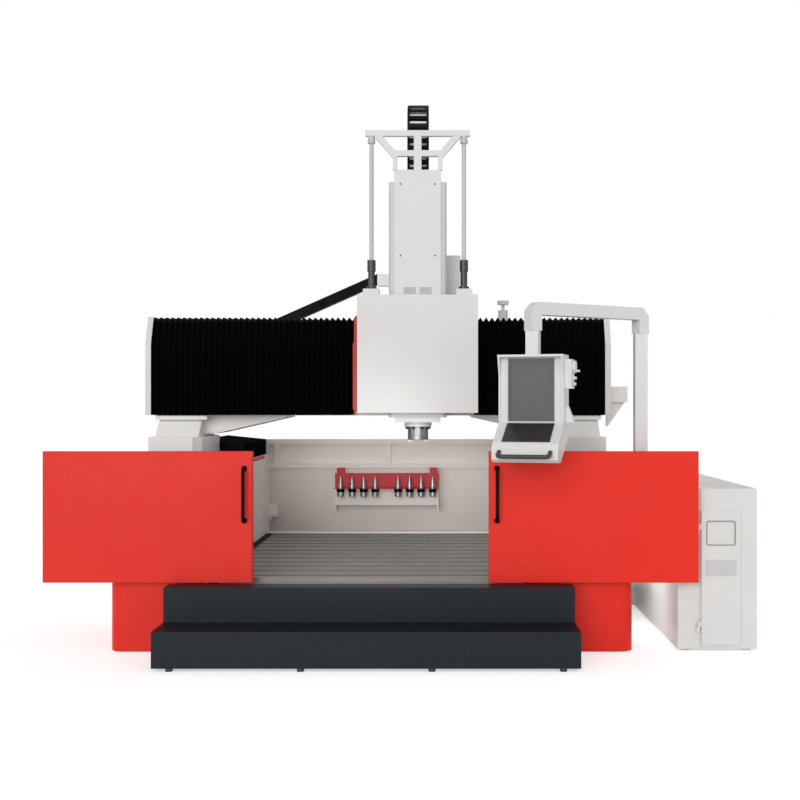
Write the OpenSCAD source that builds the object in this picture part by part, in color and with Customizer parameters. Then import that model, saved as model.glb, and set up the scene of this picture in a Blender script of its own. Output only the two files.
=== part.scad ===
// Gantry milling machine with a moving bridge.
// The bridge slides along the bed (Y), the saddle along the bridge (X), the ram up and down (Z).
// Origin on the floor under the middle of the bed, X to the right, Y to the back.

/* [Bed] */
// Clear width between the two side walls
bed_inner_w = 2134; // [1980:2:2300]
// Width of each side wall
wall_w = 613; // [596:1:680]
// Height of the side walls
wall_h = 1166; // [1080:1:1240]
// Length of the bed, front to back
bed_l = 2620; // [2540:10:2900]
// Height of the bed floor under the table
floor_h = 365; // [300:1:400]
// Radius of the outer front corners
corner_r = 70; // [30:1:100]
// Height of the rear wall above the side walls
rear_rise = 132; // [120:1:200]
// Thickness of the rear wall
rear_t = 60; // [40:1:90]

/* [Table] */
// Thickness of the work table
table_t = 110; // [90:1:140]
// Width of the chip gutter beside the table
gutter_w = 66; // [36:1:70]
// Distance between two T-slots
slot_pitch = 210; // [150:10:300]
// Width of the mouth of a T-slot
slot_w = 22; // [14:1:28]

/* [Tool rack] */
// Number of holders on each side of the middle
holders_per_side = 4; // [2:1:5]
// Distance between two holders
holder_pitch = 100; // [85:1:120]
// Height of the rack shelf above the table
rack_lift = 400; // [300:1:420]
// Diameter of the holder flange
holder_d = 63; // [50:1:70]

/* [Front] */
// Thickness of the folded front guard
guard_t = 20; // [10:1:30]
// Height of the apron under the door opening
apron_h = 432; // [430:1:470]
// Width of one door
door_w = 1347; // [1300:1:1400]
// Height of one door
door_h = 843; // [780:1:880]
// Thickness of a door
door_t = 40; // [30:1:50]
// Height of the lower edge of the doors
door_z0 = 459; // [456:1:480]
// Distance of an open door from the middle
door_gap = 757; // [700:1:780]
// Width of the step
step_w = 2580; // [2200:10:2700]
// Height of the lower tread
tread_h = 238; // [200:1:270]
// Height of the upper tread
step_h = 454; // [400:1:455]
// Depth of the lower tread
tread_d = 304; // [250:1:350]

/* [Gantry] */
// Width of a gantry foot
foot_w = 375; // [350:1:390]
// Length of a gantry foot
foot_l = 688; // [620:1:740]
// Height of a gantry foot
foot_h = 148; // [120:1:170]
// Front of the feet, from the middle of the bed
gantry_y0 = -618; // [-700:1:-500]
// Distance of a foot from the inner wall face
foot_inset = 188; // [180:1:200]
// Height of the column above the foot
column_h = 152; // [130:1:180]
// Height of the cross beam
beam_h = 630; // [600:1:680]
// Depth of the cross beam, front to back
beam_d = 695; // [600:1:760]
// Thickness of the beam walls
beam_wall = 40; // [20:1:60]
// Thickness of the white end caps of the beam
cap_t = 42; // [20:1:60]
// Depth of a bellows pleat on the beam
pleat_depth = 32; // [20:1:34]
// Length of one bellows pleat
pleat_pitch = 42; // [30:1:60]

/* [Head] */
// Middle of the saddle along the beam
carriage_x = 293; // [200:1:380]
// Width of the head cover
head_w = 823; // [800:1:860]
// Height of the head cover
head_h = 806; // [780:1:860]
// Depth of the head cover
head_d = 380; // [360:1:420]
// Wall of the head cover
head_wall = 6; // [4:1:10]
// Width of the ram
ram_w = 398; // [360:1:420]
// Depth of the ram
ram_d = 260; // [240:1:270]
// Length of the ram
ram_l = 1616; // [1560:1:1700]
// Wall of the hollow ram
ram_wall = 30; // [15:1:40]
// Diameter of a balance rod
rod_d = 30; // [20:1:34]
// Distance between the two balance rods
rod_span = 635; // [610:1:660]
// Height of the yoke above the top of the ram
yoke_h = 352; // [320:1:400]
// Width of the cable chain
chain_w = 148; // [110:1:160]
// Diameter of the spindle nose
nose_d = 143; // [110:1:160]

/* [Pendant] */
// Square size of the pendant post
post_w = 82; // [80:1:96]
// Height of the post
post_h = 2070; // [2000:1:2120]
// Reach of the swing arm
arm_reach = 870; // [800:1:900]
// Width of the control pendant
pendant_w = 410; // [380:1:440]
// Turn of the pendant towards the left
pendant_yaw = 17; // [0:1:25]

/* [Cabinet] */
// Gap between the bed and the electric cabinet
cabinet_gap = 309; // [260:1:360]
// Width of the cabinet
cabinet_w = 513; // [500:1:600]
// Length of the cabinet
cabinet_l = 1700; // [1400:10:1800]
// Height of the cabinet
cabinet_h = 1040; // [1000:1:1100]

/* [Hidden] */
$fn = 48;
// Clearance between sliding or curved faces
fit = 0.3;
// Overshoot of a cut past the face that it opens
cut = 1;

// Colours of the finishes
WHITE = [0.85, 0.85, 0.84];
CAST = [0.66, 0.64, 0.61];
TABLE = [0.50, 0.49, 0.48];
RED = [0.88, 0.23, 0.19];
NAVY = [0.16, 0.18, 0.21];
BLACK = [0.05, 0.05, 0.05];
STEEL = [0.70, 0.71, 0.72];
DARK = [0.26, 0.26, 0.27];

// Bed
inner_x = bed_inner_w / 2;
outer_x = inner_x + wall_w;
bed_y0 = -bed_l / 2;
bed_y1 = bed_l / 2;
rear_y0 = bed_y1 - rear_t;
wall_root = 10;
pocket_n = 3;
pocket_d = 40;
pocket_rib = 80;
pocket_z0 = 180;
rear_rail_h = 44;
rear_mid_h = 44;
rear_mid_drop = 256;
rear_rim = 16;
corner_w = 90;
corner_rise = 154;
corner_h = 96;
rear_rib_w = 44;
rear_rib_x = 980;
rear_pocket_d = 38;
rear_back_y = rear_y0 + rear_pocket_d;

// Table
ledge_d = 40;
ledge_rise = 15;
table_x = inner_x - gutter_w;
table_y0 = bed_y0 + 20;
table_y1 = rear_y0 - ledge_d - fit;
table_z1 = floor_h + table_t;
slot_depth = 42;
slot_foot_w = 1.7 * slot_w;
slot_foot_h = 18;
slot_n = floor((table_y1 - table_y0 - slot_foot_w) / slot_pitch);
slot_y0 = (table_y0 + table_y1 - slot_n * slot_pitch) / 2;
gutter_wall = 4;
gutter_depth = 24;

// Tool rack on the rear wall
rack_x = -10;
rack_z = table_z1 + rack_lift;
rack_mid_gap = 197;
rack_hw = rack_mid_gap / 2 + (holders_per_side - 1) * holder_pitch + 52;
rack_bar_d = 100;
rack_bar_z0 = rack_z - 148;
rack_bar_z1 = rack_z + 29;
rack_leg_w = 12;
rack_leg_h = 50;
rack_plate_t = 10;
rack_plate_h = 131;
rack_plate_y1 = rear_y0 - rack_bar_d;
fork_reach = 90;
fork_t = 6;
holder_y = rack_plate_y1 - rack_plate_t - 50;
hook_w = 61;
hook_h = 44;
hook_t = 18;
hook_in = 16;
groove_d = holder_d - 13;
groove_h = 8;
flange_low = 31;
flange_top = 12;
taper_h = 65;
taper_d0 = 44;
taper_d1 = 25;
holder_nose_h = 38;
holder_nose_d = holder_d - 6;
stud_d = taper_d1 - 8;
stud_h = 22;

// Front guard, doors and step
guard_y0 = bed_y0 - fit - guard_t;
guard_side = 900;
guard_y1 = bed_y0 + guard_side;
guard_z0 = 2;
guard_z1 = wall_h + 84;
guide_stand = 30;
door_y1 = guard_y0 - guide_stand;
door_y0 = door_y1 - door_t;
door_edge = 4;
door_skin = 4;
door_rim = 40;
door_rail_t = 14;
door_rail_h = 30;
door_rail_in = 30;
door_rail_z = [door_z0 + 100, door_z0 + door_h - 100];
guide_x = [inner_x + 60, inner_x + 240];
guide_l = 80;
guide_h = 60;
guide_play = 0.5;
handle_in = 53;
handle_l = 358;
handle_d = 24;
handle_stand = 62;
handle_z0 = door_z0 + 387;
step_t = 4;
step_z0 = 19;
riser_y1 = door_y0 - 5;
riser_d = 158;
riser_y0 = riser_y1 - riser_d;
tread_y0 = riser_y0 - tread_d;
step_hw = step_w / 2;
step_foot_d = 44;
step_foot_n = 4;
step_foot_in = 105;
step_bracket_w = 60;
step_bracket_z = [150, 250];
step_bracket_x = [-0.7 * step_hw, 0, 0.7 * step_hw];

way_plate_t = 12;

// Linear guides: rail section, runner section and the stack height that they carry
rail_w = 40;
rail_h = 30;
stack_h = 56;
runner_w = 92;
runner_l = 130;
runner_lift = 6;
track_w = 80;
track_h = 18;
air_gap = 0.8;

// Gantry
foot_x0 = inner_x + foot_inset;
foot_x1 = foot_x0 + foot_w;
foot_xc = (foot_x0 + foot_x1) / 2;
gantry_y1 = gantry_y0 + foot_l;
foot_z0 = wall_h + stack_h;
foot_z1 = foot_z0 + foot_h;
foot_bevel = 60;
y_rail_dx = 110;
rail_y0 = bed_y0 + corner_r + way_plate_t + fit;
rail_y1 = rear_y0 - 40;
runner_in = 95;
beam_z0 = foot_z1 + column_h;
beam_z1 = beam_z0 + beam_h;
beam_y0 = gantry_y0 + 223;
beam_y1 = beam_y0 + beam_d;
beam_x = foot_x1 + 10;
cap_x = beam_x + cap_t;
waist_in = 32;
waist_back = 40;
waist_front0 = 68;
waist_front1 = 200;
flange_t = 30;
flange_front = 150;
flange_out = 14;
haunch_x = 575;
haunch_tip = 14;
haunch_lift = 17;
haunch_y = [beam_y0 + 45, beam_y0 + 545];

// Way covers on the walls: inner edge, ridge and outer edge above the wall top
way_x = [inner_x + 9, inner_x + 343, outer_x - 5];
way_rear_h = [134, 168, 120];
way_front_h = [66, 80, 60];
way_lift = 2;
way_pleat_depth = 22;
way_pleat_pitch = 46;
sheet_t = 4;
way_frame_t = 8;
way_frame_lift = rail_h + 12;
way_front_y = [bed_y0 + corner_r + way_plate_t, gantry_y0 - way_frame_t];
way_rear_y = [gantry_y1 + way_frame_t, rear_y0 - 12 - way_plate_t];

// Bellows on the beam: outer outline across the pleats and the way into the fold
bel_y0 = beam_y0 - 103;
bel_z0 = beam_z0 + 4;
bel_z1 = beam_z1 + 89;
bel_chamfer = [80, 200];
bel_y1 = beam_y0 + 455;
bel_path = [
    [bel_y0, bel_z0],
    [bel_y0, bel_z1 - bel_chamfer[1]],
    [bel_y0 + bel_chamfer[0], bel_z1],
    [bel_y1, bel_z1]
];
bel_in = [[1, 0], [1, -0.4], [0.5, -1], [0, -1]];
bel_t = pleat_depth + sheet_t;

// Saddle and head
saddle_x = carriage_x - 31;
saddle_hw = 430;
saddle_frame_t = 8;
saddle_web = 40;
x_rail_z = [beam_z0 + 130, beam_z0 + 490];
x_track_z = beam_z0 + 310;
saddle_y1 = beam_y0 - stack_h - 14;
saddle_y0 = saddle_y1 - 115;
saddle_z0 = beam_z0 + 30;
saddle_z1 = beam_z0 + 770;
saddle_corner = 70;
x_runner_dx = 300;
head_y1 = saddle_y0;
head_y0 = head_y1 - head_d;
head_z0 = beam_z0 + 23;
head_z1 = head_z0 + head_h;
ram_y1 = saddle_y0 - stack_h - 4;
ram_y0 = ram_y1 - ram_d;
ram_z0 = beam_z0 - 9;
ram_z1 = ram_z0 + ram_l;
ram_x = carriage_x;
ram_edge = 30;
ram_play = 8;
z_rail_dx = 120;
z_rail_z = [ram_z0 + 60, ram_z1 - 60];
z_runner_z = [head_z0 + 160, head_z1 - 130];
plate_w = 320;
plate_t = 12;
plate_y0 = ram_y0 - plate_t;
plate_z0 = ram_z0 + 30;
plate_top = 81;
plate_hole_d = 12;
plate_hole_dx = 118;
plate_hole_drop = [98, 588];

// Yoke, balance rods and cylinders
vent_w = 82;
vent_h = 46;
vent_dx = 54;
vent_lift = 8;
yoke_t = 40;
yoke_y0 = plate_y0;
yoke_y = yoke_y0 + yoke_t / 2;
yoke_z1 = ram_z1 + yoke_h;
yoke_bar = 39;
yoke_end = 41;
yoke_mid_drop = 137;
yoke_mid_h = 40;
yoke_brace_low = 50;
yoke_mid_w = 340;
yoke_leg_w = 30;
yoke_mast_w = 52;
rod_x = [ram_x - rod_span / 2, ram_x + rod_span / 2];
rod_z0 = head_z1 - 20;
cyl_d = 62;
cyl_z0 = head_z0 + 40;
rod_bore = rod_d + 4;
pad_w = 110;
pad_d = 130;
pad_h = 40;
gland_flange_d = 72;
gland_flange_h = 18;
gland_neck_d = 46;
gland_neck_h = 106;
gland_nut_d = 58;
gland_nut_h = 76;

// Spindle under the ram
spindle_y = (ram_y0 + ram_y1) / 2;
nose_plate_w = 312;
nose_plate_d = 240;
nose_plate_h = 34;
nose_flange_d = 189;
nose_flange_h = 30;
nose_h = 92;
nose_key_x = nose_d / 2 - 15;
nose_key_w = 25;
nose_key_h = 12;
nose_shaft_d = 90;
nose_shaft_h = 60;
taper_mouth_d = 70;
taper_top_d = 40;
taper_l = 100;

// Cable chain: an upright loop, one leg in the ram and one in the chain box
chain_t = 66;
chain_r = 150;
chain_plate = 14;
chain_rung = 22;
chain_rung_t = 8;
chain_pitch = 50;
chain_y = spindle_y + chain_r;
chain_zc = ram_z1 + 410;
chain_front_l = 930;
chain_box_z1 = head_z1 + 326;
chain_rear_l = chain_zc - chain_box_z1 + 20;
chain_play = fit;
chain_box_t = 6;
chain_box_x = [ram_x - chain_w / 2 - chain_play - chain_box_t, ram_x + 304];
chain_box_y = [chain_y + chain_r - chain_t / 2 - chain_play - chain_box_t,
               chain_y + chain_r + chain_t / 2 + chain_play + chain_box_t];
chain_box_z0 = saddle_z1;

// Cable duct behind the beam, carried by an arm from the chain box
duct_y = [beam_y1 + 30, beam_y1 + 110];
duct_h = 84;
duct_z = beam_z1 + 448;
duct_in = 344;
duct_run = 699;
duct_x = [ram_x - duct_in, ram_x - duct_in - duct_run];
duct_fall = 310;
duct_tail = 60;
duct_arm_z = [duct_z - 52, duct_z + 43];

// Lifting eye post and bracket of the beam
post_x = 942;
lift_base_d = 77;
lift_base_h = 187;
lift_neck_d = 26;
lift_head_d = 90;
lift_head_z = 230;
lift_head_h = 31;
lift_y = bel_y1 + 120;
bracket_w = 153;
bracket_z = beam_z0 + 97;
bracket_h = 116;
bracket_web_h = 180;
bracket_web_t = 20;
bracket_web_foot = 12;
bracket_y = [beam_y0 + 95, beam_y0 + 195];

// Pendant post and arm
post_stand = 32.5;
post_in = 157;
pend_post = [outer_x + guard_t + fit + post_stand + post_w / 2, bed_y0 + post_in];
post_z0 = 600;
post_bracket_z = [post_z0 + 30, post_z0 + 400];
post_bracket_h = 100;
spigot_d = 60;
spigot_h = 79;
arm_tube = 80;
arm_rise = 170;
arm_z0 = post_h + fit;
arm_z1 = arm_z0 + arm_rise;
arm_drop_w = 80;
arm_drop_z0 = post_h - 8;
arm_elbow = 52;
arm_turn = 210.5;
drop = pend_post + arm_reach * [cos(arm_turn), sin(arm_turn)];
pin_d = 40;
pin_h = 48;
pend_hang = 812;
pend_h = 660;
pend_z0 = arm_drop_z0 - pend_hang;
pend_z1 = pend_z0 + pend_h;
pend_screen_z = [pend_z0 + 250, pend_z1 - 24];
pend_face = -55;
pend_back = 105;
pend_visor = 48;
pend_visor_t = 14;
pend_cheek = 12;
pend_cheek_h = 130;
pend_rim = 10;
pend_hw = pendant_w / 2;
console_p0 = [pend_face, pend_z0 + 240];
console_p1 = [pend_face - 175, pend_z0 + 117];
console_dir = (console_p1 - console_p0) / norm(console_p1 - console_p0);
console_n = [console_dir[1], -console_dir[0]];
console_lip = [
    console_p1 + [-17, -33], console_p1 + [-17, -99],
    [console_p1[0] + 7, pend_z0], [console_p1[0] + 65, pend_z0]
];
console_heel = pend_z0 + 150;
keypad_seat = 0.05;
panel_t = 6;
screen_t = 10;
keypad_in = 14;
keypad_w = 297;
screen_w = 289;
screen_rim = 14;
grip_d = 28;
grip_hw = 172;
grip_y = -297;
grip_z = pend_z0 + 40;
cradle_z = [pend_z0 + 242, pend_z0 + 340];
cradle_reach = 56;
mpg_w = 46;
mpg_z = [pend_z0 + 450, pend_z0 + 630];
wheel_d = 76;
wheel_t = 18;
wheel_edge = 8;
wheel_knob_d = 14;
wheel_knob_h = 24;

// Cabinet
cab_x0 = outer_x + cabinet_gap;
cab_x1 = cab_x0 + cabinet_w;
cab_y0 = bed_y0 + 5;
cab_y1 = cab_y0 + cabinet_l;
cab_z0 = 15;
cab_z1 = cab_z0 + cabinet_h;
cab_wall = 12;
cab_groove = [cab_x0 + 97, cab_x0 + 149];
cab_groove_d = 6;
cab_door_x = [cab_x0 + 149, cab_x0 + 402];
cab_door_z = [cab_z0 + 27, cab_z0 + 897];
cab_door_t = 20;
cab_door_y1 = cab_y0 - fit;
cab_lip = 14;
cab_window_z = [cab_z0 + 676, cab_z0 + 832];
cab_window_in = 33;
cab_plate_z = [cab_z0 + 477, cab_z0 + 581];
cab_plate_in = 26;
hinge_d = 20;
hinge_pin_d = 10;
hinge_h = 36;
hinge_at = [cab_door_x[0] - 12, cab_y0 - 12];
hinge_z = [cab_door_z[0] + 120, cab_door_z[1] - 120];
cab_foot_d = 60;
cab_foot_n = 3;
cab_plate_t = 3;
trunk_y = [cab_y1 - 195, cab_y1 - 65];
trunk_z = [30, 150];
rack_sheet_t = 14;
drive_size = [150, 92, 330];
drive_pitch = 118;
drive_n = 6;
drive_y0 = cab_y0 + 190;
drive_z0 = cab_z0 + 430;
terminal_h = 70;
terminal_d = 64;
terminal_z0 = cab_z0 + 220;

// Shared shapes

// A box given by its low and high value on each axis
module block(x, y, z) {
    translate([x[0], y[0], z[0]]) cube([x[1] - x[0], y[1] - y[0], z[1] - z[0]]);
}

// An upright round bar between two heights
module upright(d, at, z) {
    translate([at[0], at[1], z[0]]) cylinder(d = d, h = z[1] - z[0]);
}

// A flat shape drawn in Y and Z, carried along X
module along_x(x) {
    translate([x[0], 0, 0]) rotate([90, 0, 90]) linear_extrude(x[1] - x[0]) children();
}

// A flat shape drawn in X and Z, carried along Y
module along_y(y) {
    translate([0, y[1], 0]) rotate([90, 0, 0]) linear_extrude(y[1] - y[0]) children();
}

// The piece and its mirror image on the left
module both_sides() {
    children();
    mirror([1, 0, 0]) children();
}

function arc(c, r, a0, a1, n = 8) = [
    for (i = [0:n]) let (a = a0 + (a1 - a0) * i / n) c + r * [cos(a), sin(a)]
];
function reversed(v) = [for (i = [len(v) - 1:-1:0]) v[i]];
function about(c, h) = [c - h, c + h];

// Linear guide rail and the runner that straddles it, drawn across the rail on its base line
module rail_section() {
    translate([-rail_w / 2, 0]) square([rail_w, rail_h]);
}

module runner_section(top) {
    difference() {
        translate([-runner_w / 2, runner_lift]) square([runner_w, top - runner_lift]);
        translate([-rail_w / 2 - fit, -cut]) square([rail_w + 2 * fit, rail_h + fit + cut]);
    }
}

// Bellows: rings of one open outline, whose outer edge swings between peak and valley
function fold(path, into, d) = [for (i = [0:len(path) - 1]) path[i] + d * into[i]];
function ring(path, into, d, t) = concat(fold(path, into, d), reversed(fold(path, into, t)));
function ring_faces(n, m) = concat(
    [for (i = [0:m / 2 - 2]) [i, i + 1, m - 2 - i, m - 1 - i]],
    [for (k = [0:n - 2], i = [0:m - 1]) let (j = (i + 1) % m) [k * m + i, (k + 1) * m + i, (k + 1) * m + j]],
    [for (k = [0:n - 2], i = [0:m - 1]) let (j = (i + 1) % m) [k * m + i, (k + 1) * m + j, k * m + j]],
    [for (i = [0:m / 2 - 2]) let (k = (n - 1) * m) [k + m - 1 - i, k + m - 2 - i, k + i + 1, k + i]]
);

module bellows(span, path, into, depth, pitch, t) {
    pleats = round((span[1] - span[0]) / pitch);
    n = 2 * pleats + 1;
    m = 2 * len(path);
    step = (span[1] - span[0]) / (n - 1);
    points = [for (k = [0:n - 1], p = ring(path, into, depth * (k % 2), t)) [p[0], p[1], span[0] + k * step]];
    polyhedron(points, ring_faces(n, m), convexity = 10);
}

// Bed, table and rear wall

function wall_plan() = concat(
    [[inner_x - wall_root, bed_y0]],
    arc([outer_x - corner_r, bed_y0 + corner_r], corner_r, 270, 360),
    [[outer_x, bed_y1], [inner_x - wall_root, bed_y1]]
);

module bed() {
    pocket_y0 = guard_y1 + pocket_rib;
    pocket_step = (bed_y1 - pocket_y0) / pocket_n;
    color(CAST) difference() {
        union() {
            block(about(0, inner_x), [bed_y0, bed_y1], [0, floor_h]);
            both_sides() linear_extrude(wall_h) polygon(wall_plan());
        }
        both_sides() block([inner_x - wall_root - cut, inner_x], [bed_y0 - cut, bed_y1 + cut],
                           [floor_h, wall_h + cut]);
        both_sides() for (i = [0:pocket_n - 1])
            block([outer_x - pocket_d, outer_x + cut],
                  [pocket_y0 + i * pocket_step, pocket_y0 + (i + 1) * pocket_step - pocket_rib],
                  [pocket_z0, wall_h - pocket_rib]);
    }
}

function guard_plan(x, y0, r) = concat(
    [[-x, guard_y1]],
    arc([-x + r, y0 + r], r, 180, 270),
    arc([x - r, y0 + r], r, 270, 360),
    [[x, guard_y1]]
);

module front_guard() {
    skin = guard_plan(outer_x + fit + guard_t, guard_y0, corner_r + guard_t);
    back = guard_plan(outer_x + fit, bed_y0 - fit, corner_r);
    color(RED) difference() {
        translate([0, 0, guard_z0]) linear_extrude(guard_z1 - guard_z0) polygon(concat(skin, reversed(back)));
        block(about(0, inner_x), [guard_y0 - cut, bed_y0 + cut], [apron_h, guard_z1 + cut]);
    }
}

module work_table() {
    color(TABLE) difference() {
        block(about(0, table_x), [table_y0, table_y1], [floor_h, table_z1]);
        for (i = [0:slot_n]) translate([0, slot_y0 + i * slot_pitch, table_z1 - slot_depth]) {
            block(about(0, table_x + cut), about(0, slot_w / 2), [0, slot_depth + cut]);
            block(about(0, table_x + cut), about(0, slot_foot_w / 2), [0, slot_foot_h]);
        }
    }
}

module chip_gutters() {
    color(BLACK) both_sides() difference() {
        block([table_x + fit, inner_x - fit], [table_y0, table_y1], [floor_h, table_z1]);
        block([table_x + fit + gutter_wall, inner_x - fit - gutter_wall], [table_y0 - cut, table_y1 + cut],
              [table_z1 - gutter_depth, table_z1 + cut]);
    }
}

module rear_wall() {
    top = wall_h + rear_rise;
    mid = top - rear_mid_drop;
    sill = table_z1 + ledge_rise;
    corner_z0 = table_z1 + corner_rise;
    ribs = [-rear_rib_x, 0, rear_rib_x];
    color(CAST) {
        difference() {
            union() {
                block(about(0, inner_x - fit), [rear_y0, bed_y1], [floor_h, top]);
                block(about(0, inner_x - fit), [rear_y0 - ledge_d, rear_y0], [floor_h, sill]);
            }
            difference() {
                block(about(0, inner_x - rear_rim), [rear_y0 - cut, rear_back_y],
                      [mid + rear_mid_h, top - rear_rail_h]);
                for (x = ribs) block(about(x, rear_rib_w / 2), [rear_y0 - 2 * cut, bed_y1], [mid, top]);
            }
            block(about(0, inner_x - rear_rim), [rear_y0 - cut, rear_back_y], [sill, mid]);
        }
        block([fit - inner_x, fit - inner_x + corner_w], [rear_y0 - ledge_d, rear_back_y],
              [corner_z0, corner_z0 + corner_h]);
    }
}

module y_rails() {
    color(STEEL) both_sides() for (s = [-1, 1])
        translate([foot_xc + s * y_rail_dx, 0, wall_h]) along_y([rail_y0, rail_y1]) rail_section();
}

module y_magnet_tracks() {
    color(DARK) both_sides()
        block(about(foot_xc, track_w / 2), [rail_y0, rail_y1], [wall_h, wall_h + track_h]);
}

// Way covers on the side walls

function way_path(h, low) = [
    [way_x[0], low], [way_x[0], wall_h + h[0]], [way_x[1], wall_h + h[1]],
    [way_x[2], wall_h + h[2]], [way_x[2], low]
];
way_in = [[1, 0], [1, -1], [0, -1], [-1, -1], [-1, 0]];

module way_end_plates() {
    color(DARK) both_sides() {
        along_y([way_front_y[0] - way_plate_t, way_front_y[0]]) polygon(way_path(way_front_h, wall_h));
        along_y([way_rear_y[1], way_rear_y[1] + way_plate_t]) polygon(way_path(way_rear_h, wall_h));
    }
}

module way_cover(y, h) {
    color(BLACK) translate([0, y[1] + y[0], 0]) rotate([90, 0, 0])
        bellows(y, way_path(h, wall_h + way_lift), way_in, way_pleat_depth, way_pleat_pitch,
                way_pleat_depth + sheet_t);
}

module rear_way_cover_left() {
    mirror([1, 0, 0]) way_cover(way_rear_y, way_rear_h);
}

module rear_way_cover_right() {
    way_cover(way_rear_y, way_rear_h);
}

module front_way_cover_left() {
    mirror([1, 0, 0]) way_cover(way_front_y, way_front_h);
}

module front_way_cover_right() {
    way_cover(way_front_y, way_front_h);
}

// Tool rack

function holder_x(i) = rack_mid_gap / 2 + i * holder_pitch;

module rack_bar() {
    color(CAST) translate([rack_x, 0, 0]) {
        block(about(0, rack_hw), [rack_plate_y1, rear_back_y], [rack_bar_z0, rack_bar_z1]);
        both_sides() block([rack_hw - rack_leg_w, rack_hw], [rack_plate_y1, rear_back_y],
                           [rack_bar_z0 - rack_leg_h, rack_bar_z1]);
    }
}

module rack_plate() {
    plate_y0 = rack_plate_y1 - rack_plate_t;
    top = rack_z + rack_plate_h;
    hook_x = [rack_hw - hook_in - hook_w, rack_hw - hook_in];
    color(RED) translate([rack_x, 0, 0]) difference() {
        union() {
            block(about(0, rack_hw), [plate_y0, rack_plate_y1], [rack_z, top]);
            block(about(0, rack_hw), [plate_y0 - fork_reach, plate_y0], [rack_z, rack_z + fork_t]);
            both_sides() block(hook_x, [plate_y0, rear_y0], [top - hook_t, top + hook_h]);
        }
        both_sides() block([hook_x[0] - cut, hook_x[1] + cut], [rack_plate_y1, rear_y0 - hook_t],
                           [top - hook_t - cut, top + hook_h - hook_t]);
        both_sides() for (i = [0:holders_per_side - 1]) {
            upright(groove_d + 2 * fit, [holder_x(i), holder_y], [rack_z - cut, rack_z + fork_t + cut]);
            block(about(holder_x(i), groove_d / 2 + fit), [plate_y0 - fork_reach - cut, holder_y],
                  [rack_z - cut, rack_z + fork_t + cut]);
        }
    }
}

module tool_holder() {
    groove_z = (fork_t - groove_h) / 2;
    taper_z0 = groove_z + groove_h + flange_top;
    upright(groove_d, [0, 0], [groove_z - flange_low, taper_z0]);
    upright(holder_d, [0, 0], [groove_z - flange_low, groove_z]);
    upright(holder_d, [0, 0], [groove_z + groove_h, taper_z0]);
    upright(holder_nose_d, [0, 0], [groove_z - flange_low - holder_nose_h, groove_z - flange_low / 2]);
    translate([0, 0, taper_z0]) cylinder(d1 = taper_d0, d2 = taper_d1, h = taper_h);
    upright(stud_d, [0, 0], [taper_z0, taper_z0 + taper_h + stud_h]);
}

module tool_holders() {
    color(STEEL) translate([rack_x, 0, 0]) both_sides() for (i = [0:holders_per_side - 1])
        translate([holder_x(i), holder_y, rack_z]) tool_holder();
}

// Step in front of the machine

module step_tray(y, top) {
    difference() {
        block(about(0, step_hw), y, [step_z0, top]);
        block(about(0, step_hw - step_t), [y[0] + step_t, y[1] - step_t], [step_z0 - cut, top - step_t]);
    }
}

module step() {
    color(NAVY) {
        step_tray([tread_y0, riser_y0], tread_h);
        step_tray([riser_y0, riser_y1], step_h);
        for (x = step_bracket_x) block(about(x, step_bracket_w / 2), [riser_y1, guard_y0], step_bracket_z);
    }
}

module step_feet() {
    pitch = (step_w - 2 * step_foot_in) / (step_foot_n - 1);
    rows = [tread_y0 + step_foot_d / 2, riser_y1 - step_foot_d / 2];
    color(DARK) for (i = [0:step_foot_n - 1], y = rows)
        upright(step_foot_d, [step_foot_in - step_hw + i * pitch, y], [0, step_z0]);
}

// Sliding doors

module door_guides() {
    color(DARK) both_sides() for (x = guide_x, z = door_rail_z) difference() {
        block(about(x, guide_l / 2), [door_y1 + guide_play, guard_y0], about(z, guide_h / 2));
        block(about(x, guide_l), [door_y1 - cut, door_y1 + door_rail_t + guide_play],
              about(z, door_rail_h / 2 + guide_play));
    }
}

module door_panel() {
    plan = [
        [door_gap, door_y1], [door_gap, door_y0 + door_edge], [door_gap + door_edge, door_y0],
        [door_gap + door_w - door_edge, door_y0], [door_gap + door_w, door_y0 + door_edge],
        [door_gap + door_w, door_y1]
    ];
    color(RED) {
        difference() {
            translate([0, 0, door_z0]) linear_extrude(door_h) polygon(plan);
            block([door_gap + door_rim, door_gap + door_w - door_rim], [door_y0 + door_skin, door_y1 + cut],
                  [door_z0 + door_rim, door_z0 + door_h - door_rim]);
        }
        for (z = door_rail_z) {
            block([door_gap + door_rail_in, door_gap + door_w - door_rail_in],
                  [door_y1, door_y1 + door_rail_t], about(z, door_rail_h / 2));
            block([door_gap + door_rim, door_gap + door_w - door_rim], [door_y0 + door_skin, door_y1],
                  about(z, door_rail_h));
        }
    }
}

module door_handle() {
    x = door_gap + handle_in;
    bar_y = door_y0 - handle_stand + handle_d / 2;
    color(BLACK) {
        upright(handle_d, [x, bar_y], [handle_z0, handle_z0 + handle_l]);
        for (z = [handle_z0 + handle_d / 2, handle_z0 + handle_l - handle_d / 2])
            translate([x, bar_y, z]) rotate([-90, 0, 0]) cylinder(d = handle_d - 4, h = door_y0 - bar_y);
    }
}

module right_door_panel() {
    door_panel();
}

module right_door_handle() {
    door_handle();
}

module left_door_panel() {
    mirror([1, 0, 0]) door_panel();
}

module left_door_handle() {
    mirror([1, 0, 0]) door_handle();
}

// Gantry

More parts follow.
